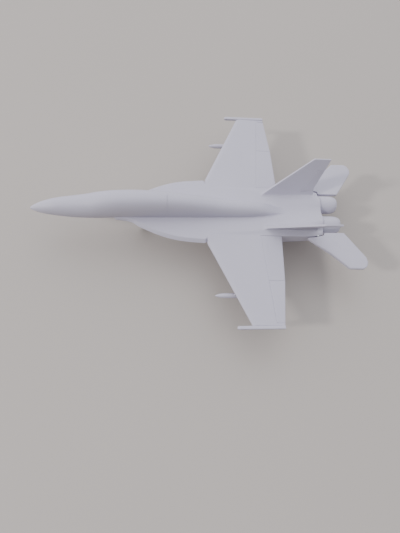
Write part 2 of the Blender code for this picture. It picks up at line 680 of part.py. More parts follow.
for name, sign in SIDES:
    x0, x1 = SERVO_X
    y0, y1 = SERVO_Y
    case = [(x, y, z) for x in (x0, x1) for y, z in ((y0, -6.6), (y1, -6.6), (y1, 0.6), (y0, 0.6))]
    servo = make(name + "_aileron_servo", sided(case, sign), ring_faces(2, 4), "blue")
    boss = rod((ARM_AXIS[0], y0 - 1.0, ARM_AXIS[1]), (ARM_AXIS[0], y0 + 1.0, ARM_AXIS[1]), 2.4, 12)
    boolean(servo, tool(name + "_servo_boss_shape", sided(boss[0], sign), boss[1]), "UNION")
    ax, az = ARM_AXIS
    arm = []
    for y in (ARM_Y - 0.75, ARM_Y + 0.75):
        ring = [(ax + 2.4 * math.cos(t), y, az + 2.4 * math.sin(t)) for t in
                [math.radians(-20 + 220 * k / 7) for k in range(8)]]
        ring += [(ax + 1.5 * math.cos(t), y, az - ARM_LENGTH + 1.5 * math.sin(t)) for t in
                 [math.radians(180 + 180 * k / 5) for k in range(6)]]
        arm.append(ring)
    points, faces = loft(arm)
    obj = make(name + "_servo_arm", sided(points, sign), faces, "white", origin=(ax, sign * ARM_Y, az))
    hole = rod((ax, ARM_Y - 3, az - ARM_LENGTH), (ax, ARM_Y + 3, az - ARM_LENGTH), 0.85, 8)
    boolean(obj, tool(name + "_arm_hole_cutter", sided(hole[0], sign), hole[1]))
    # a wire with a short peg bent into each hole
    hx = hinge_x(ARM_Y)
    a0 = Vector((ax, ARM_Y - 1.8, az - ARM_LENGTH))
    b0 = Vector((hx, ARM_Y - 1.8, -ARM_LENGTH))
    wire = rod(tuple(a0 + (a0 - b0).normalized() * 0.6), tuple(b0 + (b0 - a0).normalized() * 0.6), 0.6, 8)
    push = make(name + "_pushrod", sided(wire[0], sign), wire[1], "steel", origin=(ax, sign * ARM_Y, az - ARM_LENGTH))
    for tag, (px, pz) in (("front", (ax, az - ARM_LENGTH)), ("rear", (hx, -ARM_LENGTH))):
        peg = rod((px, ARM_Y - 2.0, pz), (px, ARM_Y + 1.4, pz), 0.5, 8)
        boolean(push, tool(f"{name}_{tag}_peg_shape", sided(peg[0], sign), peg[1]), "UNION")

# ------------------------------------------------------------------ tip rails, pylons and stores

for name, sign in SIDES:
    outline = [(51.9, 213.6), (55.0, 212.55), (131.4, 212.55), (131.4, 217.8), (55.0, 217.8), (51.9, 216.8)]
    points, faces = plate(outline, [0.4] * 6, lambda u, v: 2.6, lambda u, v: -2.6, 2.2, lambda u, v, h: (u, v, h))
    make(name + "_tip_rail", sided(points, sign), faces, "white")
    sy, sz, sr = STORE_Y * mm, STORE_Z * mm, STORE_RADIUS * mm
    top = lambda x: -wing_half(max(x, 62.0), sy) - 0.35
    lower = sz + sr + 0.35
    profile = ((53.0, -5.2), (63.0, top(63.0)), (102.0, top(102.0)), (98.0, lower), (50.0, lower))
    points, faces = plate(profile, [0.5] * len(profile), lambda u, v: sy + 1.5, lambda u, v: sy - 1.5, 0.9,
                          lambda u, v, h: (u, h, v))
    make(name + "_pylon", sided(points, sign), faces, "white")
    shape = [(0.0, 0.0)]
    for k in range(1, 7):
        t = k / 6
        shape.append((19.0 * t, sr * math.sin(t * math.pi / 2) ** 0.8))
    shape += [(78.0, sr), (80.0, sr * 0.86), (80.0, 0.0)]
    points, faces = turned(shape, (19.5, sy, sz), (1, 0, 0), 14, closed=False)
    store = make(name + "_store", sided(points, sign), faces, "white")
    for k in range(4):
        t = math.radians(45 + 90 * k)
        c, s = math.cos(t), math.sin(t)
        vane = ((78.0, 2.0), (84.0, 8.4), (97.0, 8.4), (99.0, 2.0))
        pts = []
        for side in (-0.5, 0.5):
            for x, r in vane:
                pts.append((x, sy + r * c - side * s, sz + r * s + side * c))
        boolean(store, tool(f"{name}_vane_{k}_shape", sided(pts, sign), ring_faces(2, 4)), "UNION")

# ------------------------------------------------------------------ fins and rudders

cant = math.radians(FIN_CANT_DEG)
fin_h = FIN_HEIGHT * mm
FIN_LE, FIN_TE = ((112.4, 0.0), (193.8, 1.0)), ((210.2, 0.0), (208.6, 0.19), (224.2, 1.0))


def fin_point(u, v, h):
    """u aft, v up the canted plane from the wing plane, h towards the outside."""
    return (u, FIN_BASE_Y * mm + v * math.sin(cant) + h * math.cos(cant),
            v * math.cos(cant) - h * math.sin(cant))


def fin_foot(u, h):
    """The height up the plane at which the fin meets the deck."""
    v = 4.0
    for _ in range(12):
        _, y, _ = fin_point(u, v, h)
        v = (deck_surface(u, y) + 0.5 + h * math.sin(cant)) / math.cos(cant)
    return v


def le_at(s):
    return FIN_LE[0][0] + (FIN_LE[1][0] - FIN_LE[0][0]) * s


def te_at(s):
    for (x0, s0), (x1, s1) in zip(FIN_TE, FIN_TE[1:]):
        if s <= s1 + 1e-9:
            return x0 + (x1 - x0) * (s - s0) / (s1 - s0)
    return FIN_TE[-1][0]


FOOT = fin_foot(160.0, 0.0)
RS0, RS1 = RUDDER_SPAN


def fin_v(s):
    return FOOT + (fin_h - FOOT) * s


def rudder_hinge(s):
    return le_at(s) + (te_at(s) - le_at(s)) * 0.72


ft = FIN_THICKNESS * mm / 2


def fin_half(u, v):
    return ft - 0.010 * v


for name, sign in SIDES:
    h0, h1 = rudder_hinge(RS0), rudder_hinge(RS1)
    v0, v1 = fin_v(RS0), fin_v(RS1)
    lean = (h1 - h0) / (v1 - v0)
    r_rud = 1.75
    outline = [
        (le_at(0.0), FOOT), (le_at(1.0), fin_v(1.0)), (te_at(1.0), fin_v(1.0)), (te_at(RS1 + 0.01), v1 + 0.5),
        (h1 + lean * 0.5 - LIP, v1 + 0.5), (h0 - lean * 0.5 - LIP, v0 - 0.5), (te_at(RS0 - 0.01), v0 - 0.5),
        (te_at(0.0), FOOT),
    ] + [(u, FOOT) for u in (206.0, 200.0, 188.0, 176.0, 163.0, 150.0, 135.0, 120.0)]
    distances = [0.5, 0.4, 0.9, 0.02, 0.02, 0.02, 0.9] + [0.02] * 9
    inner = inset_outline(outline, distances)
    n = len(outline)
    points = []
    for which, loop in ((1, inner), (2, outline), (3, outline), (4, inner)):
        for i, (u, v) in enumerate(loop):
            h = {1: fin_half(u, v), 2: fin_half(u, v) - 0.4, 3: -fin_half(u, v) + 0.4, 4: -fin_half(u, v)}[which]
            if v <= FOOT + 0.6:
                v = fin_foot(u, h)
            points.append(fin_point(u, v, h))
    faces = [tuple(range(n)), tuple(3 * n + i for i in range(n))[::-1]]
    for band in range(3):
        for i in range(n):
            j = (i + 1) % n
            faces.append((band * n + i, band * n + j, (band + 1) * n + j, (band + 1) * n + i))
    fin = make(name + "_fin", sided(points, sign), faces, "white")
    cove = []
    for u, v in ((h0 - lean * 0.5, v0 - 0.5), (h1 + lean * 0.5, v1 + 0.5)):
        ring = []
        for k in range(14):
            t = 2 * math.pi * k / 14
            ring.append(fin_point(u + (r_rud + 0.35) * math.cos(t), v, (r_rud + 0.35) * math.sin(t)))
        cove.append(ring)
    points, faces = loft(cove)
    boolean(fin, tool(name + "_rudder_cove_cutter", sided(points, sign), faces))
    a = fin_point(h0 - lean * 3.0, v0 - 3.0, 0)
    b = fin_point(h1 + lean * 3.0, v1 + 3.0, 0)
    points, faces = rod(a, b, WIRE_RADIUS * mm + 0.25, 8)
    boolean(fin, tool(name + "_rudder_pin_cutter", sided(points, sign), faces))
    a = fin_point(h0 - lean * 2.6, v0 - 2.6, 0)
    b = fin_point(h1 + lean * 2.6, v1 + 2.6, 0)
    points, faces = rod(a, b, WIRE_RADIUS * mm, 8)
    make(name + "_rudder_pin", sided(points, sign), faces, "steel")
    rings = []
    for u0, v, te in ((h0, v0, te_at(RS0)), (h1, v1, te_at(RS1))):
        h = fin_half(u0, v)
        ring = [fin_point(u0 + 0.65, v, h)]
        for k in range(7):
            t = math.radians(102 + 156 * k / 6)
            ring.append(fin_point(u0 + r_rud * math.cos(t), v, r_rud * math.sin(t)))
        ring.append(fin_point(u0 + 0.65, v, -h))
        ring.append(fin_point(te, v, -0.75))
        ring.append(fin_point(te, v, 0.75))
        rings.append(ring)
    points, faces = loft(rings)
    mid = fin_point((h0 + h1) / 2, (v0 + v1) / 2, 0)
    rudder = make(name + "_rudder", sided(points, sign), faces, "white", origin=(mid[0], sign * mid[1], mid[2]))
    a = fin_point(h0 - lean * 4.0, v0 - 4.0, 0)
    b = fin_point(h1 + lean * 4.0, v1 + 4.0, 0)
    points, faces = rod(a, b, WIRE_RADIUS * mm + 0.25, 8)
    boolean(rudder, tool(name + "_rudder_bore_cutter", sided(points, sign), faces))

# ------------------------------------------------------------------ stabilators

for name, sign in SIDES:
    outline = [
        (190.5, 51.2), (232.0, 83.0), (262.0, 110.8), (287.5, 111.4), (293.5, 107.5), (297.6, 99.5), (296.2, 89.5),
        (262.0, 40.8), (225.0, 40.8), (223.0, 46.4), (208.0, 49.6),
    ]
    distances = [2.6, 2.6, 4.2, 3.6, 2.4, 1.6, 1.2, 0.4, 0.4, 0.4, 0.4]
    sz = STAB_Z * mm
    points, faces = plate(outline, distances, lambda u, v: sz + 3.3 - 0.012 * (v - 50),
                          lambda u, v: sz - 3.3 + 0.012 * (v - 50), 0.9, lambda u, v, h: (u, v, h))
    n = len(outline)
    for k in range(n, 3 * n):
        points[k] = (points[k][0], points[k][1], points[k][2] - 1.2)
    stab = make(name + "_stabilator", sided(points, sign), faces, "white",
                origin=(STAB_SHAFT_X * mm, sign * 60.0, sz))
    sx, sr = STAB_SHAFT_X * mm, STAB_SHAFT_RADIUS * mm
    points, faces = rod((sx, 46.0, sz), (sx, 63.0, sz), sr + 0.3, 12)
    boolean(stab, tool(name + "_stab_bore_cutter", sided(points, sign), faces))
    points, faces = rod((sx, 38.5, sz), (sx, 62.5, sz), sr, 12)
    shaft = make(name + "_stab_shaft", sided(points, sign), faces, "steel", origin=(sx, sign * 60.0, sz))
    # an arm clamped on the shaft's inner end, for the tail servo's rod
    arm = ((sx - 2.6, sz + 1.8), (sx + 2.6, sz + 1.8), (sx + 2.0, sz - 9.0), (sx - 2.0, sz - 9.0))
    pts = [(x, 38.9, z) for x, z in arm] + [(x, 40.2, z) for x, z in arm]
    boolean(shaft, tool(name + "_stab_arm_shape", sided(pts, sign), ring_faces(2, 4)), "UNION")

# ------------------------------------------------------------------ ducted fans, motors and thrust tubes

fy, fz = FAN_Y * mm, FAN_Z * mm
for name, sign in SIDES:
    c = (0.0, fy * sign, fz)
    ro, ri = FAN_OUTER_RADIUS * mm, FAN_INNER_RADIUS * mm
    points, faces = turned(((84.0, ri + 0.9), (84.6, ro), (118.0, ro), (118.0, ri), (87.0, ri)), c, (1, 0, 0), 24)
    housing = make(name + "_fan_housing", points, faces, "grey")
    points, faces = turned(((102.5, 7.0), (102.5, 8.0), (118.0, 8.0), (118.0, 7.0)), c, (1, 0, 0), 16)
    cup = tool(name + "_motor_cup_shape", points, faces)
    boolean(housing, cup, "UNION")
    for k in range(5):
        t = 2 * math.pi * k / 5 + 0.3
        co, si = math.cos(t) * sign, math.sin(t)
        pts = []
        for side in (-0.6 * sign, 0.6 * sign):
            for x, r in ((106.0, 7.4), (106.0, ri + 0.7), (116.0, ri + 0.7), (116.0, 7.4)):
                pts.append((x, fy * sign + r * co - side * si, fz + r * si + side * co))
        boolean(housing, tool(f"{name}_stator_{k}_shape", pts, ring_faces(2, 4)), "UNION")
    motor_profile = ((94.0, 0.0), (94.0, 0.8), (103.0, 0.8), (103.0, 5.6), (104.0, 6.5), (117.0, 6.5), (118.0, 5.6),
                     (118.0, 0.0))
    points, faces = turned(motor_profile, c, (1, 0, 0), 16, closed=False)
    make(name + "_fan_motor", points, faces, "motor")
    hub = ((88.2, 0.0), (88.6, 2.6), (90.4, 5.2), (93.0, 6.9), (95.0, 7.4), (101.8, 7.4), (101.8, 1.1), (92.5, 1.1),
           (92.5, 0.0))
    points, faces = turned(hub, c, (1, 0, 0), 16, closed=False)
    rotor = make(name + "_fan_rotor", points, faces, "black", origin=(97.0, fy * sign, fz))
    rr = ROTOR_RADIUS * mm
    for k in range(6):
        t = 2 * math.pi * k / 6
        pts = []
        for r, pitch in ((6.0, 38.0), (rr, 38.0)):
            for chord, thick in ((-4.2, 0.1), (0.0, 0.55), (4.2, 0.1), (0.0, -0.45)):
                p = math.radians(pitch)
                ax = chord * math.sin(p) + thick * math.cos(p)
                tang = (chord * math.cos(p) - thick * math.sin(p)) * sign
                ca, sa = math.cos(t), math.sin(t)
                scale = math.sqrt(max(r * r - tang * tang, 1.0))
                pts.append((97.4 + ax, fy * sign + scale * ca - tang * sa, fz + scale * sa + tang * ca))
        boolean(rotor, tool(f"{name}_blade_{k}_shape", pts, ring_faces(2, 4)), "UNION")
    tube = []
    end = NOZZLE_END_X * mm
    nr = NOZZLE_RADIUS * mm
    stations = ((118.4, fy, fz, 15.2 + 1.4, 15.2), (150.0, fy, fz, 15.8, 14.8), (186.0, 22.3, -13.0, 15.6, 14.6),
                (212.0, ny, nz, 15.8, 14.8), (222.4, ny, nz, nr, 15.2), (243.0, ny, nz, nr, 14.4),
                (end - 6.0, ny, nz, nr - 0.8, 13.0), (end - 2.0, ny, nz, nr - 2.4, 12.6), (end, ny, nz, nr - 4.0, 12.4))
    rings_out = [[(x, y * sign + ro_ * math.cos(2 * math.pi * k / 24), z + ro_ * math.sin(2 * math.pi * k / 24))
                  for k in range(24)] for x, y, z, ro_, _ in stations]
    rings_in = [[(x, y * sign + ri_ * math.cos(2 * math.pi * k / 24), z + ri_ * math.sin(2 * math.pi * k / 24))
                 for k in range(24)] for x, y, z, _, ri_ in stations]
    points, faces = tube_loft(rings_out, rings_in)
    make(name + "_thrust_tube", points, faces, "white")

# ------------------------------------------------------------------ equipment inside

def block(name, x, y, z, look, bevel=0.0):
    pts = [(a, b, c) for a in x for b, c in ((y[0], z[0]), (y[1], z[0]), (y[1], z[1]), (y[0], z[1]))]
    obj = make(name, pts, ring_faces(2, 4), look)
    if bevel:
        mod = obj.modifiers.new("Edge", "BEVEL")
        mod.width = bevel * MM
        mod.segments = 1
    return obj


block("battery_tray", (-182.0, -64.0), (-10.0, 10.0), (-7.2, -5.6), "wood")
block("battery", (-171.0, -111.0), (-12.2, 12.2), (-5.2, 14.8), "blue", 1.5)
block("receiver", (-58.0, -30.0), (-9.5, 9.5), (-12.0, -4.0), "black", 0.8)
block("speed_controller", (-6.0, 30.0), (-11.0, 11.0), (-24.0, -17.0), "black", 0.8)
for name, sign in SIDES:
    servo = block(name + "_tail_servo", (170.0, 190.0), tuple(sorted((38.8 * sign, 45.6 * sign))), (-18.0, -5.0),
                  "blue", 0.4)

# ------------------------------------------------------------------ landing gear

ground = -WING_PLANE_HEIGHT * mm
nr, nw = NOSE_WHEEL_RADIUS * mm, NOSE_WHEEL_WIDTH * mm / 2
px = NOSE_STRUT_X * mm
axle = (px + NOSE_TRAIL * mm, 0.0, ground + nr)
points, faces = rod((px, 0, -46.0), (px, 0, -10.0), 1.9, 12)
strut = make("nose_gear_strut", points, faces, "steel", origin=(px, 0, -30.0))
fork = []
for y in (-1, 1):
    side = ((px - 2.4, -43.0), (px + 2.4, -43.0), (axle[0] + 2.0, axle[2] + 1.0), (axle[0] + 1.2, axle[2] - 2.2),
            (axle[0] - 1.8, axle[2] - 2.0), (axle[0] - 3.2, axle[2] + 2.0))
    pts = [(x, y * (nw + 0.6), z) for x, z in side] + [(x, y * (nw + 2.0), z) for x, z in side]
    boolean(strut, tool(f"fork_{'left' if y < 0 else 'right'}_shape", pts, ring_faces(2, len(side))), "UNION")
crown = [(x, y, z) for x in (px - 2.8, px + 2.8) for y, z in
         ((-nw - 2.0, -46.2), (nw + 2.0, -46.2), (nw + 2.0, -42.4), (-nw - 2.0, -42.4))]
boolean(strut, tool("fork_crown_shape", crown, ring_faces(2, 4)), "UNION")
pin = rod((axle[0], -nw - 1.2, axle[2]), (axle[0], nw + 1.2, axle[2]), 1.0, 10)
boolean(strut, tool("nose_axle_shape", pin[0], pin[1]), "UNION")


def wheel(name, centre, radius, half_width, bore, look, count=24):
    profile = (
        (-half_width * 0.75, bore), (-half_width * 0.75, radius * 0.55), (-half_width * 0.92, radius * 0.62),
        (-half_width, radius * 0.78), (-half_width * 0.72, radius * 0.95), (0.0, radius),
        (half_width * 0.72, radius * 0.95), (half_width, radius * 0.78), (half_width * 0.92, radius * 0.62),
        (half_width * 0.75, radius * 0.55), (half_width * 0.75, bore),
    )
    pts, fcs = turned(profile, centre, (0, 1, 0), count)
    return make(name, pts, fcs, look, origin=centre)


wheel("nose_wheel", axle, nr, nw, 1.3, "rubber")

mr, mw = MAIN_WHEEL_RADIUS * mm, MAIN_WHEEL_WIDTH * mm / 2
mx, my = MAIN_AXLE_X * mm, MAIN_TRACK_Y * mm
for name, sign in SIDES:
    # a foot plate under the belly, a leg that leans outwards and an axle stub
    foot = [(x, y, z) for x in (mx - 12.0, mx + 6.0) for y, z in
            ((19.0, belly - 2.35), (33.0, belly - 2.35), (33.0, belly - 0.35), (19.0, belly - 0.35))]
    leg = make(name + "_gear_leg", sided(foot, sign), ring_faces(2, 4), "steel")
    pts, fcs = rod((mx - 3.0, 28.0, belly - 1.4), (mx, my - mw - 2.2, ground + mr), 1.8, 10)
    boolean(leg, tool(name + "_leg_shape", sided(pts, sign), fcs), "UNION")
    pts, fcs = rod((mx, my - mw - 3.6, ground + mr), (mx, my + mw - 0.6, ground + mr), 1.3, 10)
    boolean(leg, tool(name + "_axle_shape", sided(pts, sign), fcs), "UNION")
    wheel(name + "_main_wheel", (mx, my * sign, ground + mr), mr, mw, 1.65, "rubber")

for obj in bpy.data.objects:
    for mod in obj.modifiers:
        mod.show_render = mod.show_viewport
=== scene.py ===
"""The looks of the twin-fin ducted-fan jet model: fine skins, materials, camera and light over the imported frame."""

import math

import bmesh
import bpy
import numpy as np
from mathutils import Matrix, Vector


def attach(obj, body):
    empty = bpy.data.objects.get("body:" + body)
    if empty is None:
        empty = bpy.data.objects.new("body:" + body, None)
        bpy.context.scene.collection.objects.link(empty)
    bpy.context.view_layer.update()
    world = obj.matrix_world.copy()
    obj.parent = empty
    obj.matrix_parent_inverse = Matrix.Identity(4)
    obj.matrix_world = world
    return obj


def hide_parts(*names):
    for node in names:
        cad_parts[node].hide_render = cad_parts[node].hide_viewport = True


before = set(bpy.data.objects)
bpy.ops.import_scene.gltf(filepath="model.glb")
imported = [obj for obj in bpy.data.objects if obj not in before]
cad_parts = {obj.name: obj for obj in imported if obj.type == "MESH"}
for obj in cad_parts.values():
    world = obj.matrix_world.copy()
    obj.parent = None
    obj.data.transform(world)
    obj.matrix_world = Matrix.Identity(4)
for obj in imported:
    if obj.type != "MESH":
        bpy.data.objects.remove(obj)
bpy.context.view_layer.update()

MM = 0.001
WING_PLANE = 70.0          # height of the wing plane above the ground, mm


def put(p):
    """Millimetres from the wing plane to metres in the frame."""
    return Vector((p[0] * MM, p[1] * MM, (p[2] + WING_PLANE) * MM))


# ------------------------------------------------------------------ camera, floor and light

camera_data = bpy.data.cameras.new("camera")
camera_data.sensor_fit = "AUTO"
camera_data.sensor_width = 36.0
camera_data.lens = 370.0 * 36.0 / 533.0
camera_data.clip_start = 0.02
camera_data.clip_end = 30.0
camera = bpy.data.objects.new("camera", camera_data)
bpy.context.scene.collection.objects.link(camera)
roll, yaw, pitch = -0.37320191, 0.02995769, 0.09097844
turn = Matrix.Rotation(yaw, 3, "Z") @ Matrix.Rotation(roll, 3, "X") @ Matrix.Rotation(pitch, 3, "Y")
camera.matrix_world = Matrix.Translation((-0.059127, -0.338743, 0.654934)) @ turn.transposed().to_4x4()
bpy.context.scene.camera = camera

world = bpy.data.worlds.new("studio")
bpy.context.scene.world = world
world.use_nodes = True


def room_light(strength, floor_share, start, end):
    """A soft room: bright overhead and on the far side, falling off towards the near side."""
    tree = world.node_tree
    background = tree.nodes["Background"]
    background.inputs["Color"].default_value = (0.93, 0.95, 1.0, 1.0)
    where = tree.nodes.new("ShaderNodeTexCoord")
    split = tree.nodes.new("ShaderNodeSeparateXYZ")
    tree.links.new(where.outputs["Generated"], split.inputs["Vector"])
    lean = tree.nodes.new("ShaderNodeMath")
    lean.operation = "MULTIPLY_ADD"
    lean.inputs[1].default_value = 0.35
    tree.links.new(split.outputs["Z"], lean.inputs[0])
    tree.links.new(split.outputs["Y"], lean.inputs[2])
    fall = tree.nodes.new("ShaderNodeMapRange")
    fall.interpolation_type = "SMOOTHSTEP"
    for socket, value in (("From Min", start), ("From Max", end), ("To Min", strength * floor_share), ("To Max", strength)):
        fall.inputs[socket].default_value = value
    tree.links.new(lean.outputs[0], fall.inputs["Value"])
    tree.links.new(fall.outputs["Result"], background.inputs["Strength"])


room_light(1.36, 0.07, -0.82, 0.50)


def area_light(name, place, target, size, power, colour=(1, 1, 1)):
    data = bpy.data.lights.new(name, "AREA")
    data.shape = "DISK"
    data.size = size
    data.energy = power
    data.color = colour
    obj = bpy.data.objects.new(name, data)
    bpy.context.scene.collection.objects.link(obj)
    obj.location = place
    obj.rotation_euler = (Vector(target) - Vector(place)).to_track_quat("-Z", "Y").to_euler()
    return obj


area_light("window", (-4.864, -1.254, 3.26), (0.05, 0.0, 0.05), 0.62, 165.0, (1.0, 0.985, 0.965))
area_light("ceiling", (0.15, 1.15, 1.75), (0.0, 0.0, 0.0), 1.5, 6.0, (0.96, 0.98, 1.0))


# ------------------------------------------------------------------ materials

def nodes_of(name):
    mat = bpy.data.materials.new(name)
    mat.use_nodes = True
    tree = mat.node_tree
    return mat, tree, tree.nodes["Principled BSDF"]


def link(tree, a, b):
    tree.links.new(a, b)


def add(tree, kind, **values):
    node = tree.nodes.new(kind)
    for key, value in values.items():
        setattr(node, key, value)
    return node


def coords(tree, scale=(1, 1, 1)):
    source = add(tree, "ShaderNodeTexCoord")
    mapping = add(tree, "ShaderNodeMapping")
    mapping.inputs["Scale"].default_value = scale
    link(tree, source.outputs["Object"], mapping.inputs["Vector"])
    return mapping.outputs["Vector"]


def noise(tree, vector, scale, detail=3.0, rough=0.5):
    node = add(tree, "ShaderNodeTexNoise")
    node.inputs["Scale"].default_value = scale
    node.inputs["Detail"].default_value = detail
    node.inputs["Roughness"].default_value = rough
    link(tree, vector, node.inputs["Vector"])
    return node.outputs["Fac"]


def ramp(tree, value, stops):
    node = add(tree, "ShaderNodeValToRGB")
    while len(node.color_ramp.elements) < len(stops):
        node.color_ramp.elements.new(0.5)
    for element, (position, colour) in zip(node.color_ramp.elements, stops):
        element.position = position
        element.color = (*colour, 1.0)
    link(tree, value, node.inputs["Fac"])
    return node.outputs["Color"]


def bump_from(tree, height, strength, distance, below=None):
    node = add(tree, "ShaderNodeBump")
    node.inputs["Strength"].default_value = strength
    node.inputs["Distance"].default_value = distance
    link(tree, height, node.inputs["Height"])
    if below is not None:
        link(tree, below, node.inputs["Normal"])
    return node.outputs["Normal"]


def mapped(tree, value, low, high):
    node = add(tree, "ShaderNodeMapRange")
    node.inputs["To Min"].default_value = low
    node.inputs["To Max"].default_value = high
    link(tree, value, node.inputs["Value"])
    return node.outputs["Result"]


def shell_material(name, light, dark, roughness=0.5, grain=0.35):
    """Moulded off-white plastic: a slow tone drift, a fine satin grain and faint handling marks."""
    mat, tree, shader = nodes_of(name)
    where = coords(tree)
    slow = noise(tree, where, 9.0, 3.0, 0.55)
    tone = ramp(tree, slow, ((0.30, dark), (0.72, light)))
    marks = noise(tree, coords(tree, (0.35, 1.0, 1.0)), 210.0, 4.0, 0.7)
    mask = ramp(tree, marks, ((0.60, (0, 0, 0)), (0.78, (1, 1, 1))))
    mix = add(tree, "ShaderNodeMix", data_type="RGBA")
    mix.inputs["B"].default_value = (dark[0] * 0.93, dark[1] * 0.93, dark[2] * 0.92, 1.0)
    scale = add(tree, "ShaderNodeMath", operation="MULTIPLY")
    scale.inputs[1].default_value = 0.22
    link(tree, mask, scale.inputs[0])
    link(tree, scale.outputs[0], mix.inputs["Factor"])
    link(tree, tone, mix.inputs["A"])
    link(tree, mix.outputs["Result"], shader.inputs["Base Color"])
    link(tree, mapped(tree, noise(tree, where, 60.0, 4.0, 0.6), roughness - 0.07, roughness + 0.09),
         shader.inputs["Roughness"])
    fine = bump_from(tree, noise(tree, where, 2600.0, 2.0, 0.5), grain * 0.30, 0.00004)
    peel = bump_from(tree, noise(tree, where, 260.0, 2.0, 0.45), grain * 0.28, 0.00020, fine)
    link(tree, peel, shader.inputs["Normal"])
    shader.inputs["IOR"].default_value = 1.46
    shader.inputs["Specular IOR Level"].default_value = 0.42
    return mat


WHITE = shell_material("shell_white", (0.575, 0.550, 0.650), (0.548, 0.523, 0.622))
WHITE_FINE = shell_material("shell_white_small", (0.575, 0.550, 0.650), (0.545, 0.52, 0.618), 0.46, 0.25)


def plain_material(name, colour, roughness, metallic=0.0, drift=0.12, scale=180.0, bump=0.2, depth=0.00006, coat=0.0,
                   stretch=(1, 1, 1)):
    mat, tree, shader = nodes_of(name)
    where = coords(tree, stretch)
    value = noise(tree, where, scale, 4.0, 0.6)
    low = tuple(c * (1 - drift) for c in colour)
    high = tuple(min(1.0, c * (1 + drift)) for c in colour)
    link(tree, ramp(tree, value, ((0.3, low), (0.7, high))), shader.inputs["Base Color"])
    link(tree, mapped(tree, noise(tree, where, scale * 0.4, 3.0, 0.6), max(0.02, roughness - 0.08), roughness + 0.1),
         shader.inputs["Roughness"])
    link(tree, bump_from(tree, noise(tree, where, scale * 6.0, 2.0, 0.5), bump, depth), shader.inputs["Normal"])
    shader.inputs["Metallic"].default_value = metallic
    shader.inputs["Coat Weight"].default_value = coat
    return mat


RUBBER = plain_material("tyre_rubber", (0.022, 0.022, 0.023), 0.78, drift=0.25, scale=320.0, bump=0.5, depth=0.00012)
HUB = plain_material("hub_plastic", (0.62, 0.63, 0.66), 0.42, drift=0.05)
STEEL = plain_material("wire_steel", (0.60, 0.61, 0.63), 0.27, 1.0, 0.08, 500.0, 0.15, 0.00003, stretch=(1, 1, 0.08))
SCREW = plain_material("screw_steel", (0.33, 0.34, 0.36), 0.34, 1.0, 0.1, 700.0, 0.2, 0.00003)
BLACK = plain_material("black_plastic", (0.020, 0.021, 0.023), 0.46, drift=0.2, scale=240.0, bump=0.3)
GREY = plain_material("fan_grey", (0.17, 0.175, 0.185), 0.45, drift=0.1, scale=240.0, bump=0.25)
MOTOR = plain_material("motor_can", (0.60, 0.61, 0.64), 0.30, 1.0, 0.06, 600.0, 0.2, 0.00003, stretch=(0.05, 1, 1))
BLUE = plain_material("servo_blue", (0.030, 0.115, 0.34), 0.30, drift=0.12, scale=120.0, bump=0.12, coat=0.3)
WRAP = plain_material("battery_wrap", (0.035, 0.12, 0.33), 0.34, drift=0.18, scale=70.0, bump=0.45, depth=0.0002, coat=0.2)


def wood_material():
    mat, tree, shader = nodes_of("tray_plywood")
    where = coords(tree, (0.12, 1.0, 1.0))
    wave = add(tree, "ShaderNodeTexWave")
    wave.inputs["Scale"].default_value = 120.0
    wave.inputs["Distortion"].default_value = 5.0
    wave.inputs["Detail"].default_value = 3.0
    link(tree, where, wave.inputs["Vector"])
    link(tree, ramp(tree, wave.outputs["Fac"], ((0.1, (0.50, 0.33, 0.17)), (0.9, (0.62, 0.44, 0.25)))),
         shader.inputs["Base Color"])
    link(tree, mapped(tree, wave.outputs["Fac"], 0.55, 0.72), shader.inputs["Roughness"])
    link(tree, bump_from(tree, wave.outputs["Fac"], 0.25, 0.0001), shader.inputs["Normal"])
    return mat


def carbon_material():
    mat, tree, shader = nodes_of("spar_carbon")
    where = coords(tree)
    wave = add(tree, "ShaderNodeTexWave", bands_direction="DIAGONAL")
    wave.inputs["Scale"].default_value = 420.0
    link(tree, where, wave.inputs["Vector"])
    link(tree, ramp(tree, wave.outputs["Fac"], ((0.3, (0.012, 0.012, 0.013)), (0.7, (0.05, 0.05, 0.053)))),
         shader.inputs["Base Color"])
    link(tree, mapped(tree, wave.outputs["Fac"], 0.22, 0.38), shader.inputs["Roughness"])
    link(tree, bump_from(tree, wave.outputs["Fac"], 0.3, 0.00005), shader.inputs["Normal"])
    return mat


def floor_material():
    mat, tree, shader = nodes_of("floor_pale")
    where = coords(tree)
    slow = noise(tree, where, 0.9, 3.0, 0.5)
    link(tree, ramp(tree, slow, ((0.25, (0.490, 0.445, 0.413)), (0.75, (0.515, 0.467, 0.435)))), shader.inputs["Base Color"])
    link(tree, mapped(tree, noise(tree, where, 5.0, 3.0, 0.5), 0.62, 0.74), shader.inputs["Roughness"])
    link(tree, bump_from(tree, noise(tree, where, 420.0, 2.0, 0.5), 0.10, 0.0001), shader.inputs["Normal"])
    shader.inputs["Specular IOR Level"].default_value = 0.3
    return mat


WOOD, CARBON, FLOOR = wood_material(), carbon_material(), floor_material()

floor_mesh = bpy.data.meshes.new("floor")
floor_mesh.from_pydata([(-4, -4, 0), (4, -4, 0), (4, 4, 0), (-4, 4, 0)], [], [(0, 1, 2, 3)])
floor = bpy.data.objects.new("floor", floor_mesh)
bpy.context.scene.collection.objects.link(floor)
floor_mesh.materials.append(FLOOR)


# ------------------------------------------------------------------ mesh helpers

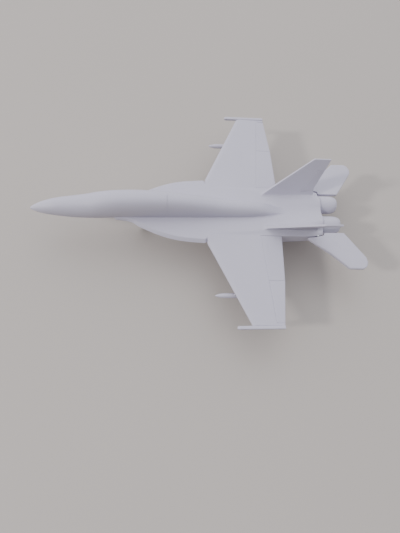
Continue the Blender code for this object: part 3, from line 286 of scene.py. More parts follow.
def build(name, points, faces, material, body, stands_for=(), slot=None, angle=35.0):
    mesh = bpy.data.meshes.new(name)
    mesh.from_pydata([put(p) for p in points], [], faces)
    bm = bmesh.new()
    bm.from_mesh(mesh)
    bmesh.ops.remove_doubles(bm, verts=bm.verts, dist=2e-6)
    bmesh.ops.dissolve_degenerate(bm, edges=bm.edges, dist=1e-6)
    bmesh.ops.recalc_face_normals(bm, faces=bm.faces)
    bm.to_mesh(mesh)
    bm.free()
    mesh.materials.append(material)
    mesh.shade_smooth()
    mesh.set_sharp_from_angle(angle=math.radians(angle))
    obj = bpy.data.objects.new(name, mesh)
    bpy.context.scene.collection.objects.link(obj)
    if body is not None:
        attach(obj, body)
        if stands_for:
            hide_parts(*stands_for)
    return obj


def cut(obj, tools, operation="DIFFERENCE", angle=35.0):
    """Applies boolean operations with throw-away shapes, then cleans the result."""
    for tool in tools:
        mod = obj.modifiers.new("cut", "BOOLEAN")
        mod.operation = operation
        mod.solver = "EXACT"
        mod.object = tool
        bpy.context.view_layer.update()
        depsgraph = bpy.context.evaluated_depsgraph_get()
        result = bpy.data.meshes.new_from_object(obj.evaluated_get(depsgraph))
        obj.modifiers.clear()
        obj.data = result
    result = obj.data
    for tool in tools:
        bpy.data.objects.remove(tool, do_unlink=True)
    while len(result.materials) > 1:
        result.materials.pop(index=len(result.materials) - 1)
    for poly in result.polygons:
        poly.material_index = 0
    result.shade_smooth()
    result.set_sharp_from_angle(angle=math.radians(angle))
    return obj


def tool(points, faces):
    return build("tool", points, faces, WHITE, None)


def ring_faces(rings, count, first=True, last=True):
    faces = []
    for r in range(rings - 1):
        for i in range(count):
            j = (i + 1) % count
            faces.append((r * count + i, r * count + j, (r + 1) * count + j, (r + 1) * count + i))
    if first:
        faces.append(tuple(range(count))[::-1])
    if last:
        faces.append(tuple((rings - 1) * count + i for i in range(count)))
    return faces


def loft(rings):
    return [p for ring in rings for p in ring], ring_faces(len(rings), len(rings[0]))


def tube_loft(outer, inner, closed_front=False):
    n, a, b = len(outer[0]), len(outer), len(inner)
    points = [p for ring in outer for p in ring] + [p for ring in inner for p in ring]
    faces = ring_faces(a, n, closed_front, False)
    shift = a * n
    faces += [tuple(shift + k for k in f) for f in ring_faces(b, n, closed_front, False)]
    for i in range(n):
        j = (i + 1) % n
        faces.append(((a - 1) * n + i, (a - 1) * n + j, shift + (b - 1) * n + j, shift + (b - 1) * n + i))
        if not closed_front:
            faces.append((i, j, shift + j, shift + i))
    return points, faces


def box_faces(x, y, z):
    return ([(a, b, c) for a in x for b, c in ((y[0], z[0]), (y[1], z[0]), (y[1], z[1]), (y[0], z[1]))],
            ring_faces(2, 4))


def turned(profile, axis_point, axis, count, closed=True):
    axis = Vector(axis).normalized()
    side = Vector((0, 0, 1)) if abs(axis.z) < 0.9 else Vector((1, 0, 0))
    side = (side - axis * side.dot(axis)).normalized()
    other = axis.cross(side)
    origin = Vector(axis_point)
    points, index = [], []
    for d, r in profile:
        if r <= 1e-9:
            index.append([len(points)] * count)
            points.append(tuple(origin + axis * d))
        else:
            index.append([len(points) + i for i in range(count)])
            for i in range(count):
                t = 2 * math.pi * i / count
                points.append(tuple(origin + axis * d + (side * math.cos(t) + other * math.sin(t)) * r))
    faces = []
    pairs = list(zip(range(len(profile) - 1), range(1, len(profile))))
    if closed:
        pairs.append((len(profile) - 1, 0))
    for a, b in pairs:
        for i in range(count):
            j = (i + 1) % count
            face = []
            for k in (index[a][i], index[a][j], index[b][j], index[b][i]):
                if k not in face:
                    face.append(k)
            if len(face) >= 3:
                faces.append(tuple(face))
    return points, faces


def rod(a, b, radius, count=16, soft=0.15):
    d = (Vector(b) - Vector(a)).length
    e = min(soft, radius * 0.5)
    return turned(((0, 0), (0, radius - e), (e, radius), (d - e, radius), (d, radius - e), (d, 0)), a,
                  Vector(b) - Vector(a), count, closed=False)


def join(*parts):
    points, faces = [], []
    for p, f in parts:
        shift = len(points)
        points += list(p)
        faces += [tuple(shift + k for k in face) for face in f]
    return points, faces


def mirrored(points):
    return [(p[0], -p[1], p[2]) for p in points]


def sided(points, sign):
    return points if sign > 0 else mirrored(points)


SIDES = (("right", 1), ("left", -1))


def between(table, x):
    if x <= table[0][0]:
        return table[0][1]
    for (x0, z0), (x1, z1) in zip(table, table[1:]):
        if x <= x1:
            return z0 + (z1 - z0) * (x - x0) / (x1 - x0)
    return table[-1][1]


def smooth_curve(xs, ys):
    """A monotone cubic through the points, as a function."""
    xs, ys = np.array(xs, float), np.array(ys, float)
    h, d = np.diff(xs), np.diff(ys) / np.diff(xs)
    m = np.zeros(len(xs))
    m[0], m[-1] = d[0], d[-1]
    for i in range(1, len(xs) - 1):
        if d[i - 1] * d[i] > 0:
            w1, w2 = 2 * h[i] + h[i - 1], h[i] + 2 * h[i - 1]
            m[i] = (w1 + w2) / (w1 / d[i - 1] + w2 / d[i])

    def value(x):
        i = int(min(max(np.searchsorted(xs, x) - 1, 0), len(h) - 1))
        t = min(max((x - xs[i]) / h[i], 0.0), 1.0)
        return float((2 * t ** 3 - 3 * t ** 2 + 1) * ys[i] + (t ** 3 - 2 * t ** 2 + t) * h[i] * m[i]
                     + (-2 * t ** 3 + 3 * t ** 2) * ys[i + 1] + (t ** 3 - t ** 2) * h[i] * m[i + 1])
    return value


def steps(a, b, n):
    return [a + (b - a) * i / (n - 1) for i in range(n)]


def ease(t):
    t = min(max(t, 0.0), 1.0)
    return t * t * (3 - 2 * t)


def spread(line, count):
    """The polyline (y, z) resampled to count points evenly along its length."""
    line = np.array(line, float)
    length = np.concatenate([[0], np.cumsum(np.linalg.norm(np.diff(line, axis=0), axis=1))])
    at = np.linspace(0, length[-1], count)
    return [(float(np.interp(s, length, line[:, 0])), float(np.interp(s, length, line[:, 1]))) for s in at]


def bezier(a, b, c, d, count):
    out = []
    for k in range(count):
        t = k / (count - 1)
        w = ((1 - t) ** 3, 3 * t * (1 - t) ** 2, 3 * t * t * (1 - t), t ** 3)
        out.append(tuple(w[0] * a[i] + w[1] * b[i] + w[2] * c[i] + w[3] * d[i] for i in range(2)))
    return out


# ------------------------------------------------------------------ body shape (mm from the wing plane)

FOREBODY = (    # x, half width, height of the widest line, top, bottom
    (-300.0, 0.0, 0.2, 0.2, 0.2),
    (-296.0, 3.6, 1.2, 4.9, -2.8),
    (-286.0, 7.8, 2.6, 11.0, -6.0),
    (-272.0, 11.7, 4.6, 17.2, -8.6),
    (-252.0, 15.2, 6.6, 23.4, -10.6),
    (-225.0, 18.2, 8.0, 28.0, -12.6),
    (-200.0, 19.8, 10.6, 33.4, -13.2),
    (-180.0, 20.5, 14.0, 39.6, -13.2),
    (-160.0, 20.5, 17.0, 44.4, -13.4),
    (-138.0, 20.1, 19.4, 47.3, -14.6),
    (-112.0, 19.9, 21.0, 48.4, -17.6),
    (-86.0, 19.3, 20.8, 47.4, -21.8),
    (-60.0, 18.5, 19.4, 45.2, -26.0),
    (-34.0, 17.7, 17.0, 41.4, -30.4),
    (-10.0, 17.1, 13.6, 37.0, -33.6),
    (10.0, 16.8, 10.5, 32.7, -34.0),
    (32.0, 16.3, 7.6, 28.4, -34.0),
    (56.0, 15.8, 6.0, 25.1, -34.0),
    (84.0, 14.9, 5.4, 22.0, -34.0),
    (108.0, 12.9, 5.2, 17.4, -34.0),
    (128.0, 9.8, 4.8, 10.6, -34.0),
    (142.0, 7.2, 4.0, 5.9, -34.0),
    (152.0, 5.8, 3.4, 3.9, -34.0),
    (162.0, 5.0, 3.0, 3.3, -34.0),
)
along = [math.sqrt(s[0] + 300.0) for s in FOREBODY]
HALF, MID, TOP, BOTTOM = (smooth_curve(along, [s[k] for s in FOREBODY]) for k in (1, 2, 3, 4))
POWER = smooth_curve([-300, -210, -170, -120, -30, 160], [2.0, 2.05, 2.25, 2.35, 2.3, 2.0])
RIM = ((-158.0, 18.9), (-150.0, 20.9), (-135.0, 22.8), (-123.0, 26.2), (-112.5, 33.2), (-96.0, 41.4), (-78.0, 49.4),
       (-60.0, 55.6), (-43.0, 59.8), (-25.0, 62.4), (-7.0, 63.8), (8.0, 65.0))
RIM_Y = smooth_curve([p[0] for p in RIM], [p[1] for p in RIM])
DECK_LINE = ((-12.0, 5.0), (100.0, 5.0), (222.0, 0.8))
SWELL = smooth_curve([100.0, 120.0, 150.0, 176.0, 200.0, 222.0], [0.0, 0.01, 0.18, 0.5, 0.85, 1.0])
SWOLLEN = smooth_curve([0.0, 7.0, 14.0, 21.5, 27.5, 32.5, 36.5, 42.0, 44.5], [4.4, 5.6, 8.2, 9.3, 7.9, 4.4, 0.8, -0.9, -3.4])
BODY = ((-9.8, 50.0, -38.0, 12.0), (80.0, 50.0, -38.0, 17.0), (120.0, 50.0, -38.0, 17.0), (150.0, 50.0, -36.8, 17.0),
        (176.0, 49.6, -34.2, 16.0), (200.0, 48.4, -31.0, 14.0), (222.0, 44.5, -27.6, 12.0))
SIDE, BELLY, CORNER = (smooth_curve([r[0] for r in BODY], [r[k] for r in BODY]) for k in (1, 2, 3))


def deck_height(x):
    return between(DECK_LINE, x)


def deck_surface(x, y):
    flat = deck_height(x)
    return flat + (SWOLLEN(abs(y) * 44.5 / SIDE(x)) - flat) * SWELL(x)


def egg(x, t, inward=0.0):
    """The rounded hull section at x: t is 90 degrees on top, 0 at the widest line and -90 below."""
    s = math.sqrt(max(x + 300.0, 0.0))
    half, mid, top, bottom = HALF(s) - inward, MID(s), TOP(s) - inward, BOTTOM(s) + inward
    c, n = math.cos(t), math.sin(t)
    power, reach = (POWER(x), top - mid) if n >= 0 else (2.0, mid - bottom)
    return (half * abs(c) ** (2 / power), mid + reach * math.copysign(abs(n) ** (2 / power), n))


def egg_line(x, n=160, inward=0.0):
    return [egg(x, math.radians(90 - 180 * k / n), inward) for k in range(n + 1)]


def hull_to_deck(x, foot, reach_y, fillet, counts):
    """From the top centre down the hull, through a fillet onto the surface foot(y), and out to reach_y."""
    hull = egg_line(x, 240)
    k = next((i for i in range(1, len(hull)) if hull[i][1] <= foot(hull[i][0])), len(hull) - 1)
    a, b = hull[k - 1], hull[k]
    da, db = a[1] - foot(a[0]), b[1] - foot(b[0])
    t = da / (da - db) if da > db else 0.0
    meet = tuple(a[i] + (b[i] - a[i]) * t for i in range(2))
    size = min(fillet, 0.6 * max(reach_y - meet[0], 0.05), 0.7 * max(hull[0][1] - meet[1], 0.02))
    j, travelled = k - 1, math.dist(meet, a)
    while j > 1 and travelled < size:
        travelled += math.dist(hull[j], hull[j - 1])
        j -= 1
    if travelled > size and j < k - 1:
        t = (travelled - size) / math.dist(hull[j], hull[j + 1])
        start = tuple(hull[j][i] + (hull[j + 1][i] - hull[j][i]) * t for i in range(2))
    else:
        start = hull[j]
    end_y = meet[0] + size
    end = (end_y, foot(end_y))
    arc = bezier(start, tuple(start[i] + (meet[i] - start[i]) * 0.62 for i in range(2)),
                 tuple(end[i] + (meet[i] - end[i]) * 0.62 for i in range(2)), end, counts[1])
    top = spread(hull[: j + 1] + [start], counts[0])
    out = [(y, foot(y)) for y in steps(end_y, reach_y, counts[2])]
    return top + arc[1:] + out[1:]


DECK = 5.0
UNDER = -2.6
COUNTS = (30, 9, 22)
CREASE, BEVEL = 0.9, 6.4


def bevel(start, end, soft):
    """Nine points from a flat surface over a small rounding and down a straight slope."""
    corner = (start[0] + soft, start[1])
    length = math.dist(corner, end)
    d = tuple((end[i] - corner[i]) / length for i in range(2))
    after = tuple(corner[i] + d[i] * soft for i in range(2))
    out = []
    for k in range(5):
        t = k / 4
        out.append(tuple(start[i] * (1 - t) ** 2 + corner[i] * 2 * t * (1 - t) + after[i] * t * t for i in range(2)))
    return out + [tuple(after[i] + (end[i] - after[i]) * k / 4 for i in range(2)) for k in range(1, 5)]



def hull_angle(x, z):
    """The angle, in degrees, at which the hull section passes a height, going down from the top."""
    low, high = -90.0, 90.0
    for _ in range(40):
        mid = (low + high) / 2
        if egg(x, math.radians(mid))[1] > z:
            high = mid
        else:
            low = mid
    return (low + high) / 2


def front_ring(x):
    """The forebody with the strakes that grow out of its sides."""
    upper_a, side_a, lower_a = (hull_angle(x, z) for z in (DECK, 0.2, UNDER))
    root = egg(x, math.radians(side_a))[0]
    reach = RIM_Y(x) - root - 3.0 * ease((-150.0 - x) / 10.0)
    parts = ((90.0, upper_a + 7.0, 30), (upper_a + 7.0, upper_a, 8), (upper_a, upper_a * 0.4 + side_a * 0.6, 12),
             (upper_a * 0.4 + side_a * 0.6, side_a, 9), (side_a, (side_a + lower_a) / 2, 7),
             ((side_a + lower_a) / 2, lower_a, 10), (lower_a, lower_a - 6.0, 7), (lower_a - 6.0, -90.0, 22))
    bare = []
    for t0, t1, n in parts:
        line = [egg(x, math.radians(t)) for t in steps(t0, t1, 40)]
        bare += spread(line, n)[1 if bare else 0:]
    w = ease(reach / 3.5)
    if w <= 0.0:
        return close_ring(x, bare)
    rim = root + max(reach, 0.5)
    chamfer = min(BEVEL, max(0.5, reach * 0.5))
    wall = egg(x, math.radians(upper_a))[0]
    upper = hull_to_deck(x, lambda y: DECK, max(rim - chamfer, wall + 0.15), min(CREASE, 0.9 * reach), (30, 8, 12))
    edge = bevel(upper[-1], (rim, 0.2), min(0.9, chamfer * 0.15))
    inner = max(rim - min(5.0, chamfer), egg(x, math.radians(lower_a))[0] + 0.1)
    low_edge = bezier((rim, 0.2), (rim + 0.05, -1.2), (rim - 0.25 * (rim - inner), UNDER + 0.3), (inner, UNDER), 7)
    meet = egg(x, math.radians(lower_a))
    size = min(3.0, 0.45 * max(inner - meet[0], 0.1))
    after = egg(x, math.radians(lower_a - 2.2 * size))
    flat = [(y, UNDER) for y in steps(inner, meet[0] + size, 10)]
    arc = bezier(flat[-1], (meet[0] + size * 0.35, UNDER), tuple(meet[i] * 0.65 + after[i] * 0.35 for i in range(2)),
                 after, 7)
    rest = spread([egg(x, math.radians(t)) for t in steps(lower_a - 2.2 * size, -90.0, 60)], 22)
    full = upper + edge[1:] + low_edge[1:] + flat[1:] + arc[1:] + rest[1:]
    return close_ring(x, [tuple(p[i] * (1 - w) + q[i] * w for i in range(2)) for p, q in zip(bare, full)])


def close_ring(x, half):
    """Both halves of a section from the starboard one, which runs from the top centre to the bottom centre."""
    half = [(max(y, 0.0), z) for y, z in half]
    half[0] = (0.0, half[0][1])
    half[-1] = (0.0, half[-1][1])
    return [(x, y, z) for y, z in half] + [(x, -y, z) for y, z in half[-2:0:-1]]


def wing_half(x, y):
    return 5.574 - 0.02263 * x - 0.0059 * y


def body_ring(x):
    """The wide body: spine, deck, side, rounded lower corner and belly."""
    side, belly, radius = SIDE(x), BELLY(x), CORNER(x)
    level = deck_height(x) - wing_half(min(max(x, 20.0), 143.0), 50.0)
    drop = level * ease((x - 8.2) / 10.0) * (1.0 - 0.75 * ease((x - 143.0) / 26.0))
    reach = 6.0 + 6.0 * ease((x - 60.0) / 70.0)

    def foot(y):
        return deck_surface(x, y) - drop * ease((y - (side - reach)) / reach) ** 0.8

    strake = x < 8.2
    if strake:
        rim = RIM_Y(x)
        if x > 2.5:
            rim -= 5.5 - math.sqrt(max(0.0, 5.5 ** 2 - (x - 2.5) ** 2))
        upper = hull_to_deck(x, foot, rim - BEVEL, CREASE, COUNTS)
        edge = bevel(upper[-1], (rim, 0.2), 0.9)
        low = bezier((rim, 0.2), (rim + 0.05, -1.2), (rim - 1.2, UNDER + 0.3), (rim - 5.0, UNDER), 7)
        low += [(y, UNDER) for y in steps(rim - 5.0, side + 0.02, 7)][1:] + [(side, UNDER - 0.6)]
    else:
        round_ = 0.0 if x < 146 else ease((x - 146.0) / 20.0)
        if x < 161.5:
            upper = hull_to_deck(x, foot, side - round_, CREASE + 3.6 * ease((x - 60.0) / 70.0), COUNTS)
        else:
            ys = [side * 0.11 * k / 29 for k in range(30)] + [side * (0.11 + 0.05 * k / 8) for k in range(1, 9)]
            ys += [side * 0.16 + (side - round_ - side * 0.16) * k / 21 for k in range(1, 22)]
            upper = [(y, foot(y)) for y in ys]
        z1 = upper[-1][1]
        edge = bezier(upper[-1], (side - round_ * 0.45, z1 - round_ * 0.1), (side, z1 - round_ * 0.5),
                      (side, z1 - max(round_ * 1.2, 0.3)), 9)
        low = [(side, z) for z in steps(edge[-1][1], edge[-1][1] - 5.0, 14)]
    z2 = belly + radius
    down = [(side, z) for z in steps(low[-1][1], z2, 9)][1:]
    corner = [(side - radius + radius * math.cos(t), z2 - radius * math.sin(t)) for t in
              [math.radians(90 * k / 14) for k in range(1, 15)]]
    flat = [(y, belly) for y in steps(side - radius, 0.0, 9)][1:]
    return close_ring(x, upper + edge[1:] + low[1:] + down + corner + flat)


# ------------------------------------------------------------------ nose, forward fuselage and canopy hatch

NOSE_JOINT = -224.99
nose_s = steps(0.0, math.sqrt(300.0 - 225.0), 44)
rings = []
for s in nose_s[1:]:
    rings.append(close_ring(s * s - 300.0, [egg(s * s - 300.0, math.radians(90 - 180 * k / 60)) for k in range(61)]))
n = len(rings[0])
points = [(-300.0, 0.0, 0.2)] + [p for r in rings for p in r]
faces = [(0, 1 + (i + 1) % n, 1 + i) for i in range(n)]
faces += [tuple(1 + k for k in f) for f in ring_faces(len(rings), n, False, True)]
nose = build("nose_shell", points, faces, WHITE, "airframe", ("nose_cone",), "white_shell")

xs = steps(NOSE_JOINT, -166.0, 22) + steps(-164.0, -100.0, 60) + steps(-98.5, -9.91, 56)
points, faces = loft([front_ring(x) for x in xs])
front = build("forward_shell", points, faces, WHITE, "airframe",
              ("forward_fuselage", "left_strake", "right_strake"), "white_shell")


def hatch_prism(grow, rear):
    x0, x1, z0 = -184.0 - grow, rear, 21.0 - grow
    profile = ((x0, z0), (x1, z0), (x1, 60.0), (x0 - 10.0, 60.0))
    return tool([(x, -30.0, z) for x, z in profile] + [(x, 30.0, z) for x, z in profile], ring_faces(2, 4))


def hull_loft(x0, x1, count, inward, points_=64):
    rings = []
    for x in steps(x0, x1, count):
        rings.append(close_ring(x, [egg(x, math.radians(90 - 180 * k / (points_ // 2)), inward)
                                    for k in range(points_ // 2 + 1)]))
    return loft(rings)


cavity = tool(*hull_loft(-223.0, -12.0, 54, 1.5))
post = tool(*rod((-106.0, 0, -30), (-106.0, 0, -8), 2.5, 32))
cut(front, [cavity, hatch_prism(0.08, -61.75), post])

outer = [close_ring(x, [egg(x, math.radians(90 - 180 * k / 90)) for k in range(91)]) for x in steps(-198.0, -50.0, 86)]
inner = [close_ring(x, [egg(x, math.radians(90 - 180 * k / 90), 1.5) for k in range(91)]) for x in steps(-198.0, -50.0, 86)]
points, faces = tube_loft(outer, inner)
canopy = build("canopy_shell", points, faces, WHITE, "hatch", ("canopy_hatch",), "white_shell")
cut(canopy, [hatch_prism(0.0, -62.1)], "INTERSECT")

# ------------------------------------------------------------------ wide body with intakes and nozzle openings

xs = steps(-9.9, 1.5, 8) + steps(2.6, 8.0, 12) + [8.3] + steps(11.0, 100.0, 46) + steps(102.0, 168.0, 44) + \
    steps(170.0, 219.0, 26) + [220.4, 221.3, 221.8]
rings = [body_ring(x) for x in xs]
squeeze = {len(xs) - 3: 0.0, len(xs) - 2: 0.35, len(xs) - 1: 1.0}
for index, amount in squeeze.items():
    rings[index] = [(x, y * (1 - amount / 46.0), z - amount * 0.5 * (1 if z > -9 else -1)) for x, y, z in rings[index]]
points, faces = loft(rings)
body = build("body_shell", points, faces, WHITE, "airframe", ("center_fuselage", "rear_fuselage", "dorsal_spine"),
             "white_shell")


def box_ring(x, y0, y1, z0, z1, r, low_r, count=12):
    """A rounded section; low_r is the radius of the lower corner on the y1 side."""
    ring = []
    for cy, cz, start in ((y1, z1, 0), (y0, z1, 90), (y0, z0, 180), (y1, z0, 270)):
        q = low_r if start == 270 else r
        for k in range(count + 1):
            t = math.radians(start + 90 * k / count)
            oy = cy - q if cy == y1 else cy + q
            oz = cz - q if cz == z1 else cz + q
            ring.append((x, oy + q * math.cos(t), oz + q * math.sin(t)))
    return ring


CHANNEL = ((-16.0, 22.3, 48.2, -36.0, -3.8, 4.2, 10.1), (-9.0, 22.5, 48.0, -35.8, -4.0, 4.0, 10.0),
           (22.0, 21.0, 47.0, -35.6, -2.6, 7.0, 11.0), (52.0, 13.0, 43.0, -34.0, -2.2, 12.0, 12.8),
           (82.0, 7.9, 38.1, -32.1, -1.9, 15.05, 15.05), (85.0, 7.9, 38.1, -32.1, -1.9, 15.05, 15.05))
channel_curves = [smooth_curve([c[0] for c in CHANNEL], [c[k] for c in CHANNEL]) for k in range(1, 7)]
cutters = []
for name, sign in SIDES:
    rings = [box_ring(x, *(f(x) for f in channel_curves)) for x in steps(-15.5, 84.6, 44)]
    points, faces = loft(rings)
    cutters.append(tool(sided(points, sign), faces))
    rake = ((-16.0, -3.0), (-9.0, -3.0), (8.0, -42.0), (-16.0, -42.0))
    cutters.append(tool(sided([(x, 20.5, z) for x, z in rake] + [(x, 54.0, z) for x, z in rake], sign), ring_faces(2, 4)))


def bay_ring(x):
    side, belly, radius = SIDE(x) - 1.6, BELLY(x) + 1.6, CORNER(x) - 1.6
    top = [(y, deck_surface(x, y) - 1.6 - 2.0 * ease((y - side + 8.0) / 8.0)) for y in steps(0.0, side, 22)]
    wall = [(side, z) for z in steps(top[-1][1], belly + radius, 5)][1:]
    corner = [(side - radius + radius * math.cos(t), belly + radius - radius * math.sin(t)) for t in
              [math.radians(90 * k / 8) for k in range(1, 9)]]
    return close_ring(x, top + wall + corner + [(y, belly) for y in steps(side - radius, 0.0, 5)][1:])


points, faces = loft([bay_ring(x) for x in steps(84.0, 217.0, 40)])
cutters.append(tool(points, faces))
for name, sign in SIDES:
    cutters.append(tool(*rod((205.0, 21.5 * sign, -9.5), (236.0, 21.5 * sign, -9.5), 16.9, 96, 0.01)))
    cutters.append(tool(*rod((212.0, 36 * sign, -5.0), (212.0, 56 * sign, -5.0), 1.8, 32, 0.01)))
cutters.append(tool(*rod((60.0, -110.0, 0.6), (60.0, 110.0, 0.6), 1.8, 24, 0.01)))
cut(body, cutters)

# ------------------------------------------------------------------ wings, flaps and ailerons

HINGE_X0, HINGE_SLOPE, LIP = 104.6, 0.083, 0.45
TE = ((143.2, 51.0), (139.8, 135.0), (131.4, 212.2))


def hinge_x(y):
    return HINGE_X0 + HINGE_SLOPE * (y - 52.0)


def te_x(y):
    for (x0, y0), (x1, y1) in zip(TE, TE[1:]):
        if y <= y1:
            return x0 + (x1 - x0) * (y - y0) / (y1 - y0)
    return TE[-1][0]


def le_x(y):
    if y < 65.4:
        return 8.3 - 0.8 * ease((60.0 - y) / 4.0)
    return 8.3 + (77.2 - 8.3) * (y - 65.4) / (212.2 - 65.4)


def nose_height(y, x, reach=10.5):
    """Half thickness near the leading edge: an ellipse that runs into the flat wing."""
    d = x - le_x(y)
    top = wing_half(x, y)
    t = min(max(d / reach, 0.0), 1.0)
    return top * (1 - (1 - t) ** 2.3) ** (1 / 2.0) if t < 1 else top


def wing_section(y, rear):
    """A closed section from the lower rear corner, round the nose, to the upper rear corner."""
    x0 = le_x(y)
    reach = 0.7 + 9.8 * ease((y - 58.0) / 10.0)
    d = [0.0] + [reach * (k / 16) ** 1.9 for k in range(1, 17)]
    span = rear - x0
    d += [reach + (span - reach) * (k / 14) for k in range(1, 15)]
    heights = [nose_height(y, x0 + v, reach) for v in d]
    low = [(x0 + v, y, -h) for v, h in zip(d, heights)][::-1]
    top = [(x0 + v, y, h) for v, h in zip(d, heights)]
    return low + top[1:]


def cove(y):
    """The hollow in the wing's rear face, from the upper lip to the lower one."""
    h, x0 = wing_half(hinge_x(y), y), hinge_x(y)
    r = h - 0.18
    a0 = math.acos(-LIP / r)
    return [(x0 + r * math.cos(a0 + (2 * math.pi - 2 * a0) * k / 18), y, r * math.sin(a0 + (2 * math.pi - 2 * a0) * k / 18))
            for k in range(19)]


def rear_edge(y, soft=0.9):
    """The wing's own trailing edge outboard of the aileron, in as many points as the hollow."""
    x1, h0 = te_x(y), wing_half(te_x(y), y)
    out = []
    for k in range(19):
        t = math.pi / 2 - math.pi * k / 18
        out.append((x1 - soft + soft * math.cos(t), y, h0 * math.sin(t)))
    return out


def wing_ring(y, hinged):
    if hinged:
        ring = wing_section(y, hinge_x(y) - LIP) + cove(y)
    else:
        ring = wing_section(y, te_x(y) - 0.9) + rear_edge(y)
    return ring


SERVO_Y, SERVO_X = (170.0, 186.4), (82.0, 102.0)
ARM_Y, ARM_AXIS, ARM_LENGTH = 167.0, (87.0, -2.2), 7.0


for name, sign in SIDES:
    inner_ys = [47.0, 50.0, 54.0, 58.0, 61.5, 64.0, 65.15]
    outer_ys = [65.25 + (208.2 - 65.25) * k / 46 for k in range(47)]
    tip = []
    for k, y in enumerate([208.21, 209.6, 211.0, 211.7, 212.05, 212.2]):
        shrink = (0.0, 0.0, 0.0, 0.10, 0.34, 0.7)[k]
        tip.append([(x, yy, z * (1 - shrink / max(2.4, wing_half(x, yy)))) for x, yy, z in wing_ring(y, False)])
    rings = [wing_ring(y, True) for y in inner_ys + outer_ys] + tip
    points, faces = loft(rings)
    wing = build(f"{name}_wing_skin", sided(points, sign), faces, WHITE, "airframe", (f"{name}_wing",), "white_shell",
                 angle=30.0)
    tools_ = []
    bay = [(x, y, z) for x in (SERVO_X[0] - 0.4, SERVO_X[1] + 0.4) for y, z in
           ((SERVO_Y[0] - 0.4, -12.0), (SERVO_Y[1] + 0.4, -12.0), (SERVO_Y[1] + 0.4, 1.0), (SERVO_Y[0] - 0.4, 1.0))]
    tools_.append(tool(sided(bay, sign), ring_faces(2, 4)))
    arm_bay = [(x, y, z) for x in (83.0, 91.0) for y, z in
               ((ARM_Y - 3.4, -12.0), (SERVO_Y[0] + 1.0, -12.0), (SERVO_Y[0] + 1.0, 1.0), (ARM_Y - 3.4, 1.0))]
    tools_.append(tool(sided(arm_bay, sign), ring_faces(2, 4)))
    slot_ = rod((60.0, 49.0, 0.6), (60.0, 110.0, 0.6), 1.8, 24, 0.01)
    tools_.append(tool(sided(slot_[0], sign), slot_[1]))
    cut(wing, tools_, angle=30.0)


def surface_ring(y, top_corner, bottom_corner, shrink=0.0):
    """A flap or aileron section with a rounded nose, crisp corners at the gap and a rounded trailing edge."""
    x0, h = hinge_x(y), wing_half(hinge_x(y), y)
    r = h - 0.5
    x1 = te_x(y)
    ring = []
    soft = 0.35
    ring += [(x0 + top_corner + soft, h), (x0 + top_corner + soft * 0.3, h - soft * 0.12), (x0 + top_corner, h - soft * 0.45)]
    for k in range(17):
        t = math.radians(104 + 152 * k / 16)
        ring.append((x0 + r * math.cos(t), r * math.sin(t)))
    ring += [(x0 + bottom_corner, -h + soft * 0.45), (x0 + bottom_corner + soft * 0.3, -h + soft * 0.12),
             (x0 + bottom_corner + soft, -h)]
    for k in range(1, 8):
        s = k / 8
        x = x0 + bottom_corner + soft + (x1 - 1.0 - x0 - bottom_corner - soft) * s
        ring.append((x, -(h + (0.8 - h) * (x - x0) / (x1 - 1.0 - x0))))
    for k in range(9):
        t = math.radians(-90 + 180 * k / 8)
        ring.append((x1 - 0.8 + 0.8 * math.cos(t), 0.8 * math.sin(t)))
    for k in range(7, 0, -1):
        s = k / 8
        x = x0 + top_corner + soft + (x1 - 1.0 - x0 - top_corner - soft) * s
        ring.append((x, h + (0.8 - h) * (x - x0) / (x1 - 1.0 - x0)))
    cx, cz = x0 + 0.35 * (x1 - x0), 0.0
    out = []
    for x, z in ring:
        d = math.hypot(x - cx, z - cz)
        f = 1 - shrink / max(d, 1.0) if shrink else 1.0
        out.append((cx + (x - cx) * f, y, z * (1 - shrink / max(h, 1.0)) if shrink else z))
    return out


for name, sign in SIDES:
    for piece, y0, y1, corners in (("aileron", 135.14, 208.0, (0.45, 0.5)), ("flap", 50.3, 134.94, (-0.1, 1.5))):
        ys = [(y0, 0.35), (y0 + 0.12, 0.12), (y0 + 0.35, 0.0)] + [(y, 0.0) for y in steps(y0 + 3.0, y1 - 3.0, 24)] + \
             [(y1 - 0.35, 0.0), (y1 - 0.12, 0.12), (y1, 0.35)]
        points, faces = loft([surface_ring(y, *corners, shrink=s) for y, s in ys])
        obj = build(f"{name}_{piece}_skin", sided(points, sign), faces, WHITE, f"{name}_{piece}_body",
                    (f"{name}_{piece}",), "white_shell", angle=30.0)

# ------------------------------------------------------------------ shapes shared by the smaller pieces

def inset_outline(outline, distances):
    """Each edge of a closed outline moved inwards by its own distance."""
    n = len(outline)
    area = sum(outline[i][0] * outline[(i + 1) % n][1] - outline[(i + 1) % n][0] * outline[i][1] for i in range(n))
    way = 1 if area > 0 else -1
    lines = []
    for i in range(n):
        (x0, y0), (x1, y1) = outline[i], outline[(i + 1) % n]
        length = max(math.hypot(x1 - x0, y1 - y0), 1e-9)
        nx, ny = -(y1 - y0) / length * way, (x1 - x0) / length * way
        lines.append((nx, ny, nx * x0 + ny * y0 + distances[i]))
    result = []
    for i in range(n):
        a, b = lines[i - 1], lines[i]
        det = a[0] * b[1] - a[1] * b[0]
        if abs(det) < 0.5:
            mx, my = a[0] + b[0], a[1] + b[1]
            size = math.hypot(mx, my)
            reach = (distances[i - 1] + distances[i]) / 2 * 2 / max(size, 0.5)
            result.append((outline[i][0] + mx / size * reach, outline[i][1] + my / size * reach))
        else:
            result.append(((a[2] * b[1] - a[1] * b[2]) / det, (a[0] * b[2] - a[2] * b[0]) / det))
    return result


